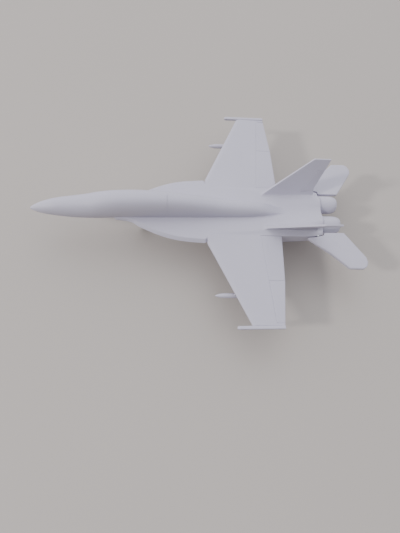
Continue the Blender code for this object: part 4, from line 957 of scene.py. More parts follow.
def rounded(outline, radii, widths, count=7):
    """An outline with its corners rounded, and the edge width that goes with each new edge."""
    n = len(outline)
    radii = radii if isinstance(radii, (list, tuple)) else [radii] * n
    out, edge = [], []
    for i in range(n):
        p, a, b = Vector(outline[i]), Vector(outline[i - 1]), Vector(outline[(i + 1) % n])
        u, v = (a - p), (b - p)
        lu, lv = u.length, v.length
        u.normalize()
        v.normalize()
        angle = math.acos(max(-1.0, min(1.0, u.dot(v))))
        cutback = min(radii[i] / max(math.tan(angle / 2), 1e-3), 0.42 * lu, 0.42 * lv)
        if cutback < 0.02 or angle > math.radians(176):
            out.append(tuple(p))
            edge.append(widths[i])
            continue
        r = cutback * math.tan(angle / 2)
        start, end = p + u * cutback, p + v * cutback
        for k in range(count + 1):
            t = k / count
            q = start * (1 - t) ** 2 + p * 2 * t * (1 - t) + end * t * t
            out.append(tuple(q))
            w = widths[i - 1] * (1 - (k + 0.5) / count) + widths[i] * (k + 0.5) / count
            edge.append(w if k < count else widths[i])
    return out, edge


def soft_plate(outline, widths, top, bottom, rim, place_at, rim_drop=0.0, rows=6):
    """A flat solid whose edges run over in a soft curve. rim is the half height of the upright edge band."""
    n = len(outline)
    points = []
    for side in (1, -1):
        for k in range(rows):
            t = k / (rows - 1) if side > 0 else 1 - k / (rows - 1)
            inset = [w * (1 - t) ** 1.6 for w in widths]
            loop = outline if t > 0.999 else inset_outline(outline, inset)
            reach = math.sqrt(max(0.0, 1 - t ** 2.2))
            for u, v in loop:
                zt, zb = top(u, v), bottom(u, v)
                middle = (zt + zb) / 2 + rim_drop * (1 - reach)
                points.append(place_at(u, v, middle + side * (rim + ((zt - zb) / 2 - rim) * reach)))
    faces = [tuple(range(n))]
    for band in range(2 * rows - 1):
        for i in range(n):
            j = (i + 1) % n
            faces.append((band * n + i, band * n + j, (band + 1) * n + j, (band + 1) * n + i))
    faces.append(tuple((2 * rows - 1) * n + i for i in range(n))[::-1])
    return points, faces


def soft_box(x, y, z, radius=0.8, count=4):
    """A box with all its edges rounded."""
    points, faces = [], []
    cx, cy, cz = (x[0] + x[1]) / 2, (y[0] + y[1]) / 2, (z[0] + z[1]) / 2
    hx, hy, hz = abs(x[1] - x[0]) / 2, abs(y[1] - y[0]) / 2, abs(z[1] - z[0]) / 2
    r = min(radius, hx * 0.98, hy * 0.98, hz * 0.98)
    rings = []
    for side in (-1, 1):
        span = range(count + 1) if side < 0 else range(count + 1)
        for k in span:
            t = math.radians(90 * k / count) if side < 0 else math.radians(90 - 90 * k / count)
            grow = r * math.sin(t)
            xx = side * (hx - r) + (-r * math.cos(t) if side < 0 else r * math.cos(t))
            ring = []
            for qy, qz, start in ((1, 1, 0), (-1, 1, 90), (-1, -1, 180), (1, -1, 270)):
                for m in range(count + 1):
                    a = math.radians(start + 90 * m / count)
                    ring.append((cx + xx, cy + qy * (hy - r) + grow * math.cos(a), cz + qz * (hz - r) + grow * math.sin(a)))
            rings.append(ring)
    return loft(rings)


def tube_along(path, radius, count=14):
    """A round wire along a path of points, with flat soft ends."""
    pts = [Vector(p) for p in path]
    rings = []
    up = Vector((0.31, 0.2, 0.93)).normalized()
    for i, p in enumerate(pts):
        d = (pts[min(i + 1, len(pts) - 1)] - pts[max(i - 1, 0)]).normalized()
        if abs(d.dot(up)) > 0.96:
            up = Vector((1, 0, 0)) if abs(d.x) < 0.8 else Vector((0, 1, 0))
        side = d.cross(up).normalized()
        up = side.cross(d).normalized()
        rings.append([tuple(p + (side * math.cos(2 * math.pi * k / count) + up * math.sin(2 * math.pi * k / count)) * radius)
                      for k in range(count)])
    first = [tuple(Vector(q) * 0.3 + pts[0] * 0.7 - (pts[1] - pts[0]).normalized() * radius * 0.12) for q in rings[0]]
    last = [tuple(Vector(q) * 0.3 + pts[-1] * 0.7 + (pts[-1] - pts[-2]).normalized() * radius * 0.12) for q in rings[-1]]
    return loft([first] + rings + [last])


def screw_head(centre, axis, radius=1.0, height=0.5):
    """A domed screw head with a round socket in its top."""
    profile = ((-0.2, 0.0), (-0.2, radius), (height * 0.35, radius), (height * 0.8, radius * 0.8), (height, radius * 0.5),
               (height, radius * 0.36), (height * 0.45, radius * 0.32), (height * 0.45, 0.0))
    return turned(profile, Vector(centre), Vector(axis).normalized(), 20, closed=False)


# ------------------------------------------------------------------ aileron horns, servos, arms and pushrods

for name, sign in SIDES:
    hx = hinge_x(ARM_Y)
    horn = ((hx + 7.4, -1.0), (hx + 1.2, -1.2), (hx - 1.6, -5.2), (hx - 1.55, -7.4), (hx - 0.9, -8.4), (hx + 0.9, -8.4),
            (hx + 1.7, -7.2), (hx + 3.2, -4.6), (hx + 9.2, -1.4))
    outline, widths = rounded(horn, 0.6, [0.22] * 9, 5)
    plate_ = soft_plate(outline, widths, lambda u, v: ARM_Y + 0.75, lambda u, v: ARM_Y - 0.75, 0.5,
                        lambda u, v, h: (u, h, v), rows=4)
    obj = build(f"{name}_aileron_horn", sided(plate_[0], sign), plate_[1], WHITE_FINE, f"{name}_aileron_body", (), "white_shell")
    holes = []
    for px, pz, r in ((hx, -ARM_LENGTH, 0.72), (hx + 0.9, -4.9, 0.5)):
        hole = rod((px, ARM_Y - 3, pz), (px, ARM_Y + 3, pz), r, 20, 0.01)
        holes.append(tool(sided(hole[0], sign), hole[1]))
    cut(obj, holes)
    pad = rounded(((hx + 1.8, ARM_Y - 3.6), (hx + 10.6, ARM_Y - 3.6), (hx + 10.6, ARM_Y + 3.6), (hx + 1.8, ARM_Y + 3.6)),
                  1.2, [0.3] * 4, 6)
    te = te_x(ARM_Y)
    skin_z = lambda u: -(wing_half(hx, ARM_Y) + (0.8 - wing_half(hx, ARM_Y)) * (u - hx) / (te - 1.0 - hx))
    pts, fcs = soft_plate(pad[0], pad[1], lambda u, v: skin_z(u) + 0.1, lambda u, v: skin_z(u) - 0.7, 0.25,
                          lambda u, v, h: (u, v, h), rows=4)
    obj = build(f"{name}_horn_pad", sided(pts, sign), fcs, WHITE_FINE, f"{name}_aileron_body", (), "white_shell")
    heads = join(*[screw_head((hx + 6.2, ARM_Y + dy, skin_z(hx + 6.2) - 0.62), (-0.05, 0, -1), 0.85, 0.5) for dy in (-2.3, 2.3)])
    build(f"{name}_horn_screws", sided(heads[0], sign), heads[1], SCREW, f"{name}_aileron_body")

    x0, x1 = SERVO_X
    y0, y1 = SERVO_Y
    low = soft_box((x0, x1), (y0, y1), (-6.6, -4.3), 0.7)
    mid_ = soft_box((x0 + 0.12, x1 - 0.12), (y0 + 0.12, y1 - 0.12), (-4.45, -0.6), 0.3)
    cap = soft_box((x0, x1), (y0, y1), (-0.75, 0.6), 0.4)
    ax, az = ARM_AXIS
    boss = turned(((0.0, 0.0), (0.0, 3.1), (0.5, 3.1), (0.62, 2.5), (1.0, 2.4), (1.08, 2.2), (1.08, 0.0)),
                  (ax, y0 + 0.1, az), (0, -1, 0), 40, closed=False)
    pts, fcs = join(low, mid_, cap, boss)
    servo = build(f"{name}_servo_case", sided(pts, sign), fcs, BLUE, "airframe", (f"{name}_aileron_servo",), "blue_case")
    heads = join(*[screw_head((x0 + dx, y0 + dy, -6.55), (0, 0, -1), 0.75, 0.4) for dx in (1.7, 18.3) for dy in (1.7, 14.7)])
    build(f"{name}_servo_screws", sided(heads[0], sign), heads[1], SCREW, "airframe")
    # a thin cover frame round the bay, screwed to the wing's underside
    wing_z = lambda u, v: -wing_half(u, v)
    outer_l = rounded(((x0 - 3.2, ARM_Y - 5.4), (x1 + 3.2, ARM_Y - 5.4), (x1 + 3.2, y1 + 3.2), (x0 - 3.2, y1 + 3.2)), 2.4, [0.5] * 4, 8)
    pts, fcs = soft_plate(outer_l[0], outer_l[1], lambda u, v: wing_z(u, v) + 0.15, lambda u, v: wing_z(u, v) - 0.55, 0.12,
                          lambda u, v, h: (u, v, h), rows=4)
    frame_ = build(f"{name}_servo_frame", sided(pts, sign), fcs, WHITE_FINE, "airframe", (), "white_shell")
    holes = []
    opening = box_faces((x0 - 0.45, x1 + 0.45), (y0 - 0.45, y1 + 0.45), (-9.0, 2.0))
    holes.append(tool(sided(opening[0], sign), opening[1]))
    opening = box_faces((82.9, 91.1), (ARM_Y - 3.5, y0 + 1.0), (-9.0, 2.0))
    holes.append(tool(sided(opening[0], sign), opening[1]))
    cut(frame_, holes)
    heads = join(*[screw_head((x0 + dx, y0 + dy, wing_z(x0 + dx, y0 + dy) - 0.5), (0, 0, -1), 0.8, 0.45)
                   for dx in (-1.7, 21.7) for dy in (-6.2, 17.8)])
    build(f"{name}_frame_screws", sided(heads[0], sign), heads[1], SCREW, "airframe")

    arm_outline = [(ax + 2.5 * math.cos(t), az + 2.5 * math.sin(t)) for t in
                   [math.radians(-25 + 230 * k / 20) for k in range(21)]]
    arm_outline += [(ax + 1.45 * math.cos(t), az - ARM_LENGTH + 1.45 * math.sin(t)) for t in
                    [math.radians(188 + 164 * k / 14) for k in range(15)]]
    pts, fcs = soft_plate(arm_outline, [0.2] * len(arm_outline), lambda u, v: ARM_Y + 0.75, lambda u, v: ARM_Y - 0.75, 0.5,
                          lambda u, v, h: (u, h, v), rows=4)
    arm = build(f"{name}_servo_horn", sided(pts, sign), fcs, WHITE_FINE, f"{name}_arm_body", (f"{name}_servo_arm",),
                "white_shell")
    holes = []
    for pz, r in ((az - ARM_LENGTH, 0.72), (az - 4.6, 0.45), (az - 2.9, 0.45)):
        hole = rod((ax, ARM_Y - 3, pz), (ax, ARM_Y + 3, pz), r, 20, 0.01)
        holes.append(tool(sided(hole[0], sign), hole[1]))
    cut(arm, holes)
    hub_ = turned(((0.0, 0.0), (0.0, 2.1), (1.15, 2.1), (1.3, 1.9), (1.3, 0.0)), (ax, ARM_Y + 0.5, az), (0, 1, 0), 36, closed=False)
    build(f"{name}_horn_hub", sided(hub_[0], sign), hub_[1], WHITE_FINE, f"{name}_arm_body", (), "white_shell")
    head = screw_head((ax, ARM_Y - 0.7, az), (0, -1, 0), 1.0, 0.5)
    build(f"{name}_horn_screw", sided(head[0], sign), head[1], SCREW, f"{name}_arm_body")

    # a wire with a bend into each hole
    za, zb, yw = az - ARM_LENGTH, -ARM_LENGTH, ARM_Y - 1.9
    path = [(ax, ARM_Y + 1.5, za), (ax, ARM_Y, za), (ax, yw + 0.9, za), (ax + 0.12, yw + 0.35, za + 0.01),
            (ax + 0.45, yw + 0.06, za + 0.04), (ax + 1.1, yw, za + 0.09)]
    path += [(ax + 1.1 + (hx - ax - 2.2) * k / 8, yw, za + (zb - za) * (1.1 + (hx - ax - 2.2) * k / 8) / (hx - ax))
             for k in range(1, 9)]
    path += [(hx - 0.45, yw + 0.06, zb - 0.04), (hx - 0.12, yw + 0.35, zb - 0.01), (hx, yw + 0.9, zb), (hx, ARM_Y, zb),
             (hx, ARM_Y + 1.5, zb)]
    pts, fcs = tube_along(path, 0.52, 16)
    build(f"{name}_link_wire", sided(pts, sign), fcs, STEEL, f"{name}_pushrod_body", (f"{name}_pushrod",), "steel_wire")
    sleeve = rod((ax + 9.0, yw, za + (zb - za) * 9.0 / (hx - ax)), (ax + 17.0, yw, za + (zb - za) * 17.0 / (hx - ax)), 0.95, 20)
    build(f"{name}_link_sleeve", sided(sleeve[0], sign), sleeve[1], BLACK, f"{name}_pushrod_body")

# ------------------------------------------------------------------ tip rails, pylons and stores

STORE_Y, STORE_Z, STORE_R = 156.5, -14.0, 4.2
for name, sign in SIDES:
    rings = []
    for x in (51.9, 52.0, 52.3, 52.8, 53.5, 54.5, 56.0, 60.0, 75.0, 90.0, 105.0, 120.0, 128.0, 130.2, 130.8, 131.15, 131.35, 131.4):
        lead = max(0.0, 1 - (x - 51.9) / 4.4)
        trail = max(0.0, 1 - (131.4 - x) / 1.1)
        size = math.sqrt(max(0.0, 1 - lead ** 2.4)) * 0.9 + 0.1 if lead > 0 else 1.0
        size -= 0.10 * trail ** 3
        inner_y, outer_y = 212.25, 217.8
        cy = (inner_y + outer_y) / 2
        hy, hz = (outer_y - inner_y) / 2 * size, 2.6 * size
        ring = []
        for k in range(56):
            t = 2 * math.pi * (k + 0.5) / 56
            c, s_ = math.cos(t), math.sin(t)
            ring.append((x, cy + hy * math.copysign(abs(c) ** 0.36, c), hz * math.copysign(abs(s_) ** 0.36, s_)))
        rings.append(ring)
    points, faces = loft(rings)
    rail = build(f"{name}_rail_skin", sided(points, sign), faces, WHITE, "airframe", (f"{name}_tip_rail",), "white_shell", angle=40)
    groove = box_faces((64.0, 126.0), (217.15, 219.0), (-0.55, 0.55))
    cut(rail, [tool(sided(groove[0], sign), groove[1])], angle=40)

    top_z = lambda x: -wing_half(max(x, 62.0), STORE_Y) + 0.2
    lower = STORE_Z + STORE_R - 0.3
    outline = ((52.6, -5.0), (60.0, -3.6), (63.0, top_z(63.0)), (102.0, top_z(102.0)), (100.2, -7.0), (97.6, lower), (50.4, lower))
    out, widths = rounded(outline, [2.0, 1.0, 0.3, 0.3, 4.0, 0.6, 1.0], [1.5, 1.0, 0.02, 1.0, 1.0, 0.02, 1.5], 6)
    pts, fcs = soft_plate(out, widths, lambda u, v: STORE_Y + 1.5, lambda u, v: STORE_Y - 1.5, 0.45,
                          lambda u, v, h: (u, h, v), rows=6)
    build(f"{name}_pylon_skin", sided(pts, sign), fcs, WHITE, "airframe", (f"{name}_pylon",), "white_shell")

    shape = [(0.0, 0.0)]
    for k in range(1, 15):
        t = k / 14
        shape.append((19.0 * t ** 1.25, STORE_R * math.sin(t * math.pi / 2) ** 0.82))
    for x in (26.0, 54.0):
        shape += [(x - 0.35, STORE_R), (x - 0.2, STORE_R - 0.16), (x + 0.2, STORE_R - 0.16), (x + 0.35, STORE_R)]
    shape += [(76.8, STORE_R), (77.6, STORE_R * 0.99), (79.2, STORE_R * 0.93), (80.0, STORE_R * 0.84), (80.0, STORE_R * 0.55),
              (78.4, STORE_R * 0.5), (78.4, 0.0)]
    parts = [turned(shape, (19.5, STORE_Y, STORE_Z), (1, 0, 0), 48, closed=False)]

    def vane(outline, k):
        t = math.radians(45 + 90 * k)
        c, s_ = math.cos(t), math.sin(t)
        out, widths = rounded(outline, 0.8, [0.5] * len(outline), 4)
        return soft_plate(out, widths, lambda u, v: 0.42, lambda u, v: -0.42, 0.12,
                          lambda u, v, h: (u, STORE_Y + v * c - h * s_, STORE_Z + v * s_ + h * c), rows=4)

    for k in range(4):
        parts.append(vane(((78.2, 3.2), (85.0, 8.4), (96.6, 8.4), (98.6, 3.2)), k))
    pts, fcs = join(*parts)
    build(f"{name}_store_skin", sided(pts, sign), fcs, WHITE, "airframe", (f"{name}_store",), "white_shell")

# ------------------------------------------------------------------ fins and rudders

CANT = math.radians(24.0)
FIN_Y, FIN_TOP, FIN_T = 32.9, 78.8, 2.4
FIN_LE, FIN_TE = ((112.4, 0.0), (193.8, 1.0)), ((210.2, 0.0), (208.6, 0.19), (224.2, 1.0))
RS0, RS1 = 0.13, 0.70
RUD = 1.75


def fin_point(u, v, h):
    return (u, FIN_Y + v * math.sin(CANT) + h * math.cos(CANT), v * math.cos(CANT) - h * math.sin(CANT))


def fin_foot(u, h, sink=0.0):
    v = 4.0
    for _ in range(12):
        _, y, _ = fin_point(u, v, h)
        v = (deck_surface(u, y) - sink + h * math.sin(CANT)) / math.cos(CANT)
    return v


def le_at(s):
    return FIN_LE[0][0] + (FIN_LE[1][0] - FIN_LE[0][0]) * s


def te_at(s):
    for (x0, s0), (x1, s1) in zip(FIN_TE, FIN_TE[1:]):
        if s <= s1 + 1e-9:
            return x0 + (x1 - x0) * (s - s0) / (s1 - s0)
    return FIN_TE[-1][0]


FOOT = fin_foot(160.0, 0.0, -0.5)


def fin_v(s):
    return FOOT + (FIN_TOP - FOOT) * s


def rudder_hinge(s):
    return le_at(s) + (te_at(s) - le_at(s)) * 0.72


def fin_half(v):
    return FIN_T - 0.010 * v


def fin_ring(s, hinged, sink=0.0, squeeze_=0.0):
    """One section of the fin: square leading edge with small rounded corners, flat sides, and a rear edge or hollow."""
    v0 = fin_v(s)
    h = fin_half(v0) - squeeze_
    le, te = le_at(s) + squeeze_, te_at(s) - squeeze_
    ring = []
    b = 0.55
    nose_ = []
    for k in range(7):
        t = math.radians(180 - 90 * k / 6)
        nose_.append((le + b + b * math.cos(t), (h - b) + b * math.sin(t)))
    top = nose_
    rear = rudder_hinge(s) - LIP if hinged else te - 0.5
    side = [(le + b + (rear - le - b) * k / 30, h) for k in range(1, 31)]
    half_ring = top + side
    lower = [(u, -hh) for u, hh in half_ring][::-1]
    if hinged:
        r, x0 = RUD + 0.3, rudder_hinge(s)
        if r > h - 0.12:
            r = h - 0.12
        a0 = math.acos(-LIP / r)
        back = [(x0 + r * math.cos(a0 + (2 * math.pi - 2 * a0) * k / 12), r * math.sin(a0 + (2 * math.pi - 2 * a0) * k / 12))
                for k in range(13)]
    else:
        back = []
        for k in range(13):
            t = math.radians(90 - 180 * k / 12)
            e = 0.5
            back.append((te - e + e * math.cos(t) ** 0.7 if math.cos(t) > 1e-6 else te - e,
                         (h - 0.35) * math.sin(t) + (0.35 * (1 if t > 0 else -1) if abs(math.sin(t)) > 0.98 else 0.0)))
    for u, hh in lower + half_ring + back:
        near = max(0.0, 1 - s / 0.105)
        v = v0 + (fin_foot(u, hh, sink) - FOOT) * near ** 1.0
        d = v - fin_foot(u, hh, sink)
        R = 3.6
        flare = 0.0
        if d < R and s < 0.09:
            flare = R - math.sqrt(max(0.0, R * R - (R - max(d, 0.0)) ** 2))
        ratio = hh / h
        hh2 = hh + flare * max(-1.0, min(1.0, ratio))
        if u < le + 1.2:
            u = u - flare * 0.9 * (1 - (u - le) / 1.2)
        elif not hinged and u > te - 1.2:
            u = u + flare * 0.6 * (u - te + 1.2) / 1.2
        if flare > 0.0:
            v = fin_foot(u, hh2, sink) + d
        ring.append(fin_point(u, v, hh2))
    return ring


for name, sign in SIDES:
    sections = [(0.0, False, 0.35, 0.0)] + [(s, False, 0.0, 0.0) for s in
                                            (0.0015, 0.004, 0.009, 0.015, 0.022, 0.030, 0.040, 0.052, 0.066, 0.082, 0.100, 0.1242)]
    sections += [(s, True, 0.0, 0.0) for s in [0.1243] + steps(0.15, 0.69, 16) + [0.7067]]
    sections += [(s, False, 0.0, 0.0) for s in [0.7068] + steps(0.74, 0.985, 9)]
    sections += [(0.993, False, 0.0, 0.03), (0.9975, False, 0.0, 0.16), (1.0, False, 0.0, 0.45)]
    points, faces = loft([fin_ring(*s) for s in sections])
    fin = build(f"{name}_fin_skin", sided(points, sign), faces, WHITE, "airframe", (f"{name}_fin",), "white_shell", angle=32)

    rings = []
    s0, s1 = RS0, RS1
    plan = [(s0, 0.3), (s0 + 0.0015, 0.1), (s0 + 0.004, 0.0)] + [(s, 0.0) for s in steps(0.16, 0.67, 14)] + \
           [(s1 - 0.004, 0.0), (s1 - 0.0015, 0.1), (s1, 0.3)]
    for s, inward in plan:
        v, u0, te = fin_v(s), rudder_hinge(s), te_at(s) - inward
        h = fin_half(v) - inward
        r = min(RUD, h - 0.2)
        ring = [(u0 + 0.65 + 0.25, h), (u0 + 0.65 + 0.06, h - 0.04), (u0 + 0.65, h - 0.18)]
        for k in range(13):
            t = math.radians(106 + 148 * k / 12)
            ring.append((u0 + r * math.cos(t), r * math.sin(t)))
        ring += [(u0 + 0.65, -h + 0.18), (u0 + 0.65 + 0.06, -h + 0.04), (u0 + 0.65 + 0.25, -h)]
        for k in range(1, 6):
            f = k / 6
            ring.append((u0 + 0.9 + (te - 0.8 - u0 - 0.9) * f, -(h + (0.8 - h) * f)))
        for k in range(9):
            t = math.radians(-90 + 180 * k / 8)
            ring.append((te - 0.6 + 0.6 * math.cos(t), 0.78 * math.sin(t)))
        for k in range(5, 0, -1):
            f = k / 6
            ring.append((u0 + 0.9 + (te - 0.8 - u0 - 0.9) * f, h + (0.8 - h) * f))
        rings.append([fin_point(u, v, hh) for u, hh in ring])
    points, faces = loft(rings)
    build(f"{name}_rudder_skin", sided(points, sign), faces, WHITE, f"{name}_rudder_body", (f"{name}_rudder",), "white_shell", angle=32)

# ------------------------------------------------------------------ stabilators

for name, sign in SIDES:
    outline = [
        (190.5, 51.2), (232.0, 83.0), (262.0, 110.8), (287.5, 111.4), (293.5, 107.5), (297.6, 99.5), (296.2, 89.5),
        (262.0, 40.8), (225.0, 40.8), (223.0, 46.4), (208.0, 49.6),
    ]
    widths = [2.2, 3.0, 3.4, 3.0, 2.6, 2.2, 1.8, 0.5, 0.5, 0.5, 0.5]
    out, edge = rounded(outline, [2.4, 0.5, 5.0, 7.0, 7.0, 7.0, 7.0, 3.0, 1.5, 1.5, 1.5], widths, 7)
    sz = -5.0
    pts, fcs = soft_plate(out, edge, lambda u, v: sz + 3.3 - 0.012 * (v - 50), lambda u, v: sz - 3.3 + 0.012 * (v - 50), 0.8,
                          lambda u, v, h: (u, v, h), rim_drop=-1.0, rows=8)
    stab = build(f"{name}_stab_skin", sided(pts, sign), fcs, WHITE, f"{name}_stabilator_body", (f"{name}_stabilator",),
                 "white_shell", angle=40)
    hole = rod((212.0, 40.0, sz), (212.0, 63.0, sz), 1.75, 28, 0.01)
    cut(stab, [tool(sided(hole[0], sign), hole[1])], angle=40)
    shaft = join(rod((212.0, 38.5, sz), (212.0, 62.5, sz), 1.5, 32, 0.3),
                 turned(((0.0, 0.0), (0.0, 3.0), (0.3, 3.3), (2.7, 3.3), (3.0, 3.0), (3.0, 0.0)), (212.0, 45.6, sz), (0, 1, 0), 32,
                        closed=False))
    arm_line = rounded(((212 - 2.6, sz + 2.2), (212 + 2.6, sz + 2.2), (212 + 1.9, sz - 9.0), (212 - 1.9, sz - 9.0)), 1.2, [0.2] * 4, 6)
    arm = soft_plate(arm_line[0], arm_line[1], lambda u, v: 40.2, lambda u, v: 38.9, 0.4, lambda u, v, h: (u, h, v), rows=4)
    pts, fcs = join(shaft, arm)
    build(f"{name}_pivot_shaft", sided(pts, sign), fcs, STEEL, f"{name}_stabilator_body", (f"{name}_stab_shaft",), "steel_wire")

# ------------------------------------------------------------------ ducted fans, motors and thrust tubes

FY, FZ, NY, NZ = 23.0, -17.0, 21.5, -9.5
for name, sign in SIDES:
    c = (0.0, FY * sign, FZ)
    shell = turned(((84.0, 15.7), (84.05, 16.0), (84.3, 16.4), (84.8, 16.66), (86.4, 16.7), (86.6, 16.5), (90.0, 16.5), (90.2, 16.7),
                    (112.0, 16.7), (112.2, 16.5), (115.0, 16.5), (115.2, 16.7), (117.8, 16.7), (118.0, 16.5), (118.0, 15.4),
                    (117.8, 15.2), (95.0, 15.15), (88.0, 15.2), (86.4, 15.35), (85.0, 15.5), (84.2, 15.55)), c, (1, 0, 0), 96)
    cup = turned(((102.6, 6.9), (102.5, 7.1), (102.5, 7.8), (102.7, 8.0), (117.0, 8.0), (118.0, 7.7), (118.0, 6.9)), c, (1, 0, 0), 64)
    parts = [shell, cup]
    for k in range(5):
        t = 2 * math.pi * k / 5 + 0.3
        rings = []
        for r in steps(7.2, 15.6, 7):
            ring = []
            for m in range(24):
                a = 2 * math.pi * m / 24
                u = 5.0 * math.cos(a)
                w_ = 0.62 * math.sin(a) * (1 + 0.35 * math.cos(a)) + 0.9 * (1 - ((u + 5) / 10)) ** 2
                co, si = math.cos(t) * sign, math.sin(t)
                ring.append((111.0 + u, FY * sign + r * co - w_ * si, FZ + r * si + w_ * co))
            rings.append(ring)
        parts.append(loft(rings))
    pts, fcs = join(*parts)
    build(f"{name}_fan_shell", pts, fcs, GREY, "airframe", (f"{name}_fan_housing",), "grey_plastic")

    motor = turned(((94.0, 0.0), (94.0, 0.6), (94.2, 0.8), (103.0, 0.8), (103.0, 5.4), (103.3, 5.9), (104.2, 6.5), (106.0, 6.5),
                    (106.1, 6.3), (106.5, 6.3), (106.6, 6.5), (114.6, 6.5), (114.7, 6.3), (115.1, 6.3), (115.2, 6.5), (117.0, 6.5),
                    (117.7, 6.1), (118.0, 5.5), (118.0, 2.4), (117.4, 2.2), (117.4, 1.2), (118.6, 1.1), (118.8, 0.9), (118.8, 0.0)),
                   c, (1, 0, 0), 72, closed=False)
    build(f"{name}_motor_can", *motor, MOTOR, "airframe", (f"{name}_fan_motor",), "motor_case")

    hub = turned(((88.2, 0.0), (88.25, 0.9), (88.5, 2.2), (89.2, 3.8), (90.4, 5.3), (91.8, 6.4), (93.4, 7.1), (95.0, 7.4),
                  (101.4, 7.4), (101.8, 7.1), (101.8, 5.9), (99.0, 5.7), (99.0, 1.2), (92.5, 1.1), (92.5, 0.0)), c, (1, 0, 0), 72,
                 closed=False)
    parts = [hub]
    for k in range(6):
        t = 2 * math.pi * k / 6
        ca, sa = math.cos(t), math.sin(t)
        rings = []
        for i, r in enumerate(steps(6.9, 14.75, 12)):
            f = i / 11
            pitch = math.radians(52.0 - 22.0 * f)
            chord = 4.6 - 0.5 * f - 0.6 * max(0.0, f - 0.85) / 0.15
            thick = 0.52 - 0.27 * f
            ring = []
            for m in range(28):
                a = 2 * math.pi * m / 28
                cc = chord * math.cos(a)
                th = thick * math.sin(a) * (1 + 0.4 * math.cos(a)) + 0.45 * (1 - (cc / chord) ** 2)
                axial = -cc * math.sin(pitch) + th * math.cos(pitch)
                tang = (cc * math.cos(pitch) + th * math.sin(pitch)) * sign
                scale = math.sqrt(max(r * r - tang * tang, 1.0))
                ring.append((97.4 + axial, FY * sign + scale * ca - tang * sa, FZ + scale * sa + tang * ca))
            rings.append(ring)
        parts.append(loft(rings))
    pts, fcs = join(*parts)
    build(f"{name}_rotor_skin", pts, fcs, BLACK, f"{name}_rotor", (f"{name}_fan_rotor",), "black_plastic")

    table = ((118.2, FY, FZ, 16.6, 15.2), (150.0, FY, FZ, 15.8, 14.8), (186.0, 22.3, -13.0, 15.6, 14.6),
             (212.0, NY, NZ, 15.8, 14.8), (222.2, NY, NZ, 16.6, 15.2), (243.0, NY, NZ, 16.6, 14.6), (250.0, NY, NZ, 16.1, 13.6))
    curves = [smooth_curve([r[0] for r in table], [r[k] for r in table]) for k in range(1, 5)]
    outer, inner_ = [], []
    for x in steps(118.2, 221.9, 36):
        cy, cz, ro, ri = (f(x) for f in curves)
        outer.append((x, cy, cz, ro))
        inner_.append((x, cy, cz, ri))
    tail_ = [(222.2, 16.35), (222.6, 16.6), (226.0, 16.6), (231.0, 16.6), (236.0, 16.6), (240.0, 16.58), (243.0, 16.5), (245.5, 16.3),
             (247.8, 16.0), (249.8, 15.55), (251.6, 15.0), (253.2, 14.35), (254.4, 13.75), (255.3, 13.15), (255.8, 12.75),
             (256.0, 12.55)]
    outer += [(x, NY, NZ, r) for x, r in tail_]
    inner_ += [(x, NY, NZ, r) for x, r in ((224.0, 15.1), (228.0, 14.95), (233.0, 14.7), (238.0, 14.3), (243.0, 13.8), (247.0, 13.3),
                                           (250.0, 12.95), (252.5, 12.65), (254.0, 12.5), (255.0, 12.4), (255.7, 12.36), (256.0, 12.42))]
    count = 96
    rings_out = [[(x, y * sign + r * math.cos(2 * math.pi * k / count), z + r * math.sin(2 * math.pi * k / count))
                  for k in range(count)] for x, y, z, r in outer]
    rings_in = [[(x, y * sign + r * math.cos(2 * math.pi * k / count), z + r * math.sin(2 * math.pi * k / count))
                 for k in range(count)] for x, y, z, r in inner_]
    points, faces = tube_loft(rings_out, rings_in)
    build(f"{name}_tube_skin", points, faces, WHITE, "airframe", (f"{name}_thrust_tube",), "white_shell", angle=40)

# ------------------------------------------------------------------ landing gear

GROUND = -WING_PLANE
MX, MY, MR, MW = 92.0, 54.0, 13.0, 4.0
AX, NR, NW = -103.0, 11.0, 3.0
PX = -106.0


def tyre_profile(radius, half):
    """The closed section of a tyre with round shoulders, tread grooves and bead rings."""
    rim_r = radius * 0.60
    pts = [(-half * 0.74, rim_r - 0.5), (-half * 0.80, rim_r), (-half * 0.93, rim_r + 0.5), (-half * 0.995, radius * 0.72),
           (-half * 1.0, radius * 0.79), (-half * 0.965, radius * 0.855), (-half * 0.89, radius * 0.91), (-half * 0.78, radius * 0.949),
           (-half * 0.64, radius * 0.975), (-half * 0.50, radius * 0.988), (-half * 0.46, radius * 0.988), (-half * 0.43, radius * 0.962),
           (-half * 0.33, radius * 0.962), (-half * 0.30, radius * 0.993), (-half * 0.14, radius * 0.999), (-half * 0.08, radius * 1.0),
           (-half * 0.05, radius * 0.968)]
    pts += [(-x, r) for x, r in pts[::-1]]
    return pts + [(half * 0.62, rim_r - 0.55), (-half * 0.62, rim_r - 0.55)]


def hub_parts(radius, half, bore, centre):
    """The rim with its flanges and the centre boss of a wheel; its five spokes are built where it is used."""
    rim_r = radius * 0.60
    rim_ = turned(((-half * 0.78, rim_r + 0.05), (-half * 0.86, rim_r - 0.25), (-half * 0.86, rim_r - 0.75), (-half * 0.6, rim_r - 1.1),
                   (-half * 0.3, rim_r - 1.35), (half * 0.3, rim_r - 1.35), (half * 0.6, rim_r - 1.1), (half * 0.86, rim_r - 0.75),
                   (half * 0.86, rim_r - 0.25), (half * 0.78, rim_r + 0.05), (0.0, rim_r + 0.05)), centre, (0, 1, 0), 72)
    boss = turned(((-half * 0.92, bore), (-half * 0.92, bore + 0.9), (-half * 0.8, bore + 1.15), (half * 0.8, bore + 1.15),
                   (half * 0.92, bore + 0.9), (half * 0.92, bore)), centre, (0, 1, 0), 48)
    return rim_, boss


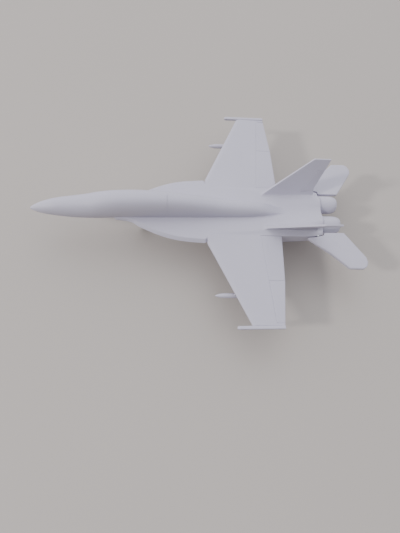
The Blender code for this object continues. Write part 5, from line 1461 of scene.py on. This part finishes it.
for label, centre, radius, half, bore, owner, node in (
    ("nose", (AX, 0.0, GROUND + NR), NR, NW, 1.3, "nose_wheel_body", "nose_wheel"),
    ("left", (MX, -MY, GROUND + MR), MR, MW, 1.65, "left_wheel", "left_main_wheel"),
    ("right", (MX, MY, GROUND + MR), MR, MW, 1.65, "right_wheel", "right_main_wheel"),
):
    pts, fcs = turned(tyre_profile(radius, half), centre, (0, 1, 0), 112)
    build(f"{label}_tyre", pts, fcs, RUBBER, owner, (node,), "tyre", angle=38)
    rim_, boss = hub_parts(radius, half, bore, centre)
    rim_r = radius * 0.60
    spokes = []
    for k in range(5):
        t = 2 * math.pi * k / 5 + math.radians(90)
        rings = []
        for i, r in enumerate(steps(bore + 0.7, rim_r - 0.9, 7)):
            w_ = 1.25 - 0.35 * math.sin(math.pi * i / 6)
            ring = []
            for m in range(20):
                a = 2 * math.pi * m / 20
                yy = half * 0.42 * math.copysign(abs(math.sin(a)) ** 0.7, math.sin(a))
                xx = w_ * math.copysign(abs(math.cos(a)) ** 0.7, math.cos(a))
                ring.append((centre[0] + r * math.cos(t) - xx * math.sin(t), centre[1] + yy, centre[2] + r * math.sin(t) + xx * math.cos(t)))
            rings.append(ring)
        spokes.append(loft(rings))
    pts, fcs = join(rim_, boss, *spokes)
    build(f"{label}_hub", pts, fcs, HUB, owner, angle=38)

for name, sign in SIDES:
    top_, end = (MX - 3.0, 28.0, -39.4), (MX, MY - MW - 2.2, GROUND + MR)
    plate_line = rounded(((MX - 12.0, 19.0), (MX + 6.0, 19.0), (MX + 6.0, 33.0), (MX - 12.0, 33.0)), 1.8, [0.25] * 4, 7)
    foot = soft_plate(plate_line[0], plate_line[1], lambda u, v: -38.05, lambda u, v: -40.35, 0.9, lambda u, v, h: (u, v, h), rows=4)
    build(f"{name}_gear_plate", sided(foot[0], sign), foot[1], BLACK, "airframe")
    clamp = turned(((0.0, 0.0), (0.0, 3.3), (0.4, 3.7), (4.6, 3.3), (5.0, 2.9), (5.0, 0.0)), (MX - 3.0, 28.0, -40.0),
                   tuple(Vector(end) - Vector(top_)), 36, closed=False)
    build(f"{name}_gear_clamp", sided(clamp[0], sign), clamp[1], BLACK, "airframe")
    heads = join(*[screw_head((MX + dx, yy, -40.3), (0, 0, -1), 1.25, 0.8) for dx in (-9.8, 3.8) for yy in (21.2, 30.8)])
    build(f"{name}_gear_screws", sided(heads[0], sign), heads[1], SCREW, "airframe")
    a, b = Vector(top_), Vector(end)
    path = [tuple(a + (b - a) * k / 10) for k in range(9)]
    path += [tuple(b + Vector((0, -0.3, 1.4))), tuple(b + Vector((0, 0.35, 0.35))), tuple(b + Vector((0, 1.3, 0.0)))]
    path += [(MX, MY - MW + 0.4 + 1.4 * k, GROUND + MR) for k in range(0, 6)]
    path[-1] = (MX, MY + MW - 0.6, GROUND + MR)
    leg = tube_along(path, 1.45, 24)
    build(f"{name}_gear_wire", sided(leg[0], sign), leg[1], STEEL, "airframe", (f"{name}_gear_leg",), "steel_wire")
    # a coil wound on the leg, and a collar on the inner side of the wheel
    d = (b - a).normalized()
    side_ = d.cross(Vector((1, 0, 0))).normalized()
    other_ = d.cross(side_)
    coil = []
    for k in range(0, 6 * 20 + 1):
        t = 2 * math.pi * k / 20
        coil.append(tuple(a + d * (6.6 + 6.0 * k / 120) + (side_ * math.cos(t) + other_ * math.sin(t)) * 2.3))
    spring = tube_along(coil, 0.48, 10)
    build(f"{name}_gear_spring", sided(spring[0], sign), spring[1], SCREW, "airframe")
    collar = turned(((0.0, 1.2), (0.0, 2.4), (0.2, 2.6), (1.0, 2.6), (1.2, 2.4), (1.2, 1.2)), (MX, MY - MW - 1.35, GROUND + MR),
                    (0, 1, 0), 36)
    build(f"{name}_gear_collar", sided(collar[0], sign), collar[1], SCREW, "airframe")

# nose gear: post, coil, fork and axle
post_ = turned(((0.0, 0.0), (0.0, 1.7), (0.2, 1.9), (35.8, 1.9), (36.0, 1.7), (36.0, 0.0)), (PX, 0, -46.0), (0, 0, 1), 40, closed=False)
build("nose_post", *post_, STEEL, "nose_strut", ("nose_gear_strut",), "steel_wire")
coil = []
for k in range(0, 7 * 20 + 1):
    t = 2 * math.pi * k / 20
    coil.append((PX + 2.75 * math.cos(t), 2.75 * math.sin(t), -41.6 + 11.0 * k / 140))
build("nose_spring", *tube_along(coil, 0.5, 10), SCREW, "nose_strut")
collar = turned(((0.0, 1.8), (0.0, 3.4), (0.3, 3.7), (2.2, 3.7), (2.5, 3.4), (2.5, 1.8)), (PX, 0, -30.2), (0, 0, 1), 44)
build("nose_collar", *collar, BLACK, "nose_strut")
parts = []
axle_z = GROUND + NR
for y in (-1, 1):
    side_line = ((PX - 2.6, -42.6), (PX + 2.6, -42.6), (PX + 2.4, -46.5), (AX + 2.3, axle_z + 2.2), (AX + 2.3, axle_z - 0.4), (AX + 1.2, axle_z - 2.3),
                 (AX - 1.2, axle_z - 2.3), (AX - 2.3, axle_z - 0.4), (AX - 2.8, axle_z + 3.4), (PX - 2.4, -46.5))
    out, widths = rounded(side_line, [0.6, 0.6, 2.0, 2.0, 1.5, 1.5, 1.5, 1.5, 2.0, 2.0], [0.3] * 10, 5)
    parts.append(soft_plate(out, widths, lambda u, v: y * (NW + 1.3) + 0.7, lambda u, v: y * (NW + 1.3) - 0.7, 0.4,
                            lambda u, v, h: (u, h, v), rows=4))
parts.append(soft_box((PX - 2.9, PX + 2.9), (-NW - 2.05, NW + 2.05), (-46.3, -42.2), 0.8))
pts, fcs = join(*parts)
build("nose_fork", pts, fcs, BLACK, "nose_strut")
axle_ = turned(((-NW - 2.7, 0.0), (-NW - 2.7, 1.3), (-NW - 2.5, 1.6), (-NW - 2.0, 1.6), (-NW - 2.0, 1.0), (NW + 2.0, 1.0), (NW + 2.0, 1.6),
                (NW + 2.5, 1.6), (NW + 2.7, 1.3), (NW + 2.7, 0.0)), (AX, 0, axle_z), (0, 1, 0), 32, closed=False)
build("nose_axle", *axle_, SCREW, "nose_strut")

# ------------------------------------------------------------------ equipment under the hatch

pts, fcs = soft_box((-171.0, -111.0), (-12.2, 12.2), (-5.2, 14.8), 2.2, 6)
pack_ = build("battery_pack", pts, fcs, WRAP, "airframe", ("battery",), "blue_case", angle=60)
for k, x in enumerate((-169.4, -112.6)):
    cap = soft_box((x - 0.9, x + 0.9), (-10.6, 10.6), (-3.6, 13.2), 0.8, 4)
    build(f"battery_end_{k}", *cap, BLACK, "airframe")
strap = []
for y, z0, z1, r in ((12.55, -5.6, 15.15, 2.4), (12.25, -5.3, 14.85, 2.2)):
    strap.append([box_ring(x, -y, y, z0, z1, r, r, 6) for x in (-147.0, -146.7, -131.3, -131.0)])
points, faces = tube_loft(*strap)
build("battery_strap", points, faces, plain_material("strap_fabric", (0.028, 0.028, 0.03), 0.85, drift=0.35, scale=900.0, bump=0.8, depth=0.0003),
      "airframe", angle=40)
tray_line = rounded(((-182.0, -10.0), (-64.0, -10.0), (-64.0, 10.0), (-182.0, 10.0)), 2.5, [0.12] * 4, 6)
pts, fcs = soft_plate(tray_line[0], tray_line[1], lambda u, v: -5.6, lambda u, v: -7.2, 0.7, lambda u, v, h: (u, v, h), rows=3)
tray = build("tray_plate", pts, fcs, WOOD, "airframe", ("battery_tray",), "tray")
holes = []
for x in (-100.0, -86.0, -72.0):
    holes.append(tool(*rod((x, 0, -9), (x, 0, -3), 4.6, 40, 0.01)))
cut(tray, holes)

pts, fcs = join(soft_box((-58.0, -30.0), (-9.5, 9.5), (-12.0, -4.0), 1.1, 5), soft_box((-59.2, -56.0), (-7.6, 7.6), (-10.6, -5.4), 0.4))
build("receiver_case", pts, fcs, BLACK, "airframe", ("receiver",), "black_plastic")
pins = [soft_box((-60.6, -58.6), (-6.4 + 2.55 * k - 0.3, -6.4 + 2.55 * k + 0.3), (-8.2 + 1.4 * r - 0.3, -8.2 + 1.4 * r + 0.3), 0.1, 2)
        for k in range(6) for r in range(2)]
build("receiver_pins", *join(*pins), SCREW, "airframe")
pts, fcs = join(soft_box((-6.0, 30.0), (-11.0, 11.0), (-24.0, -17.0), 1.4, 5),
                *[soft_box((2.0 + 4.0 * k, 3.4 + 4.0 * k), (-9.0, 9.0), (-17.3, -16.3), 0.3, 3) for k in range(6)])
build("controller_case", pts, fcs, BLACK, "airframe", ("speed_controller",), "black_plastic")

# ------------------------------------------------------------------ finishes for the nodes that stay as they are

KEEP = {"wing_spar": CARBON, "left_hinge_wire": STEEL, "right_hinge_wire": STEEL, "left_rudder_pin": STEEL,
        "right_rudder_pin": STEEL, "left_tail_servo": BLUE, "right_tail_servo": BLUE}
for node, material in KEEP.items():
    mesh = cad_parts[node].data
    if not mesh.materials:
        mesh.materials.append(material)
    for index in range(len(mesh.materials)):
        mesh.materials[index] = material
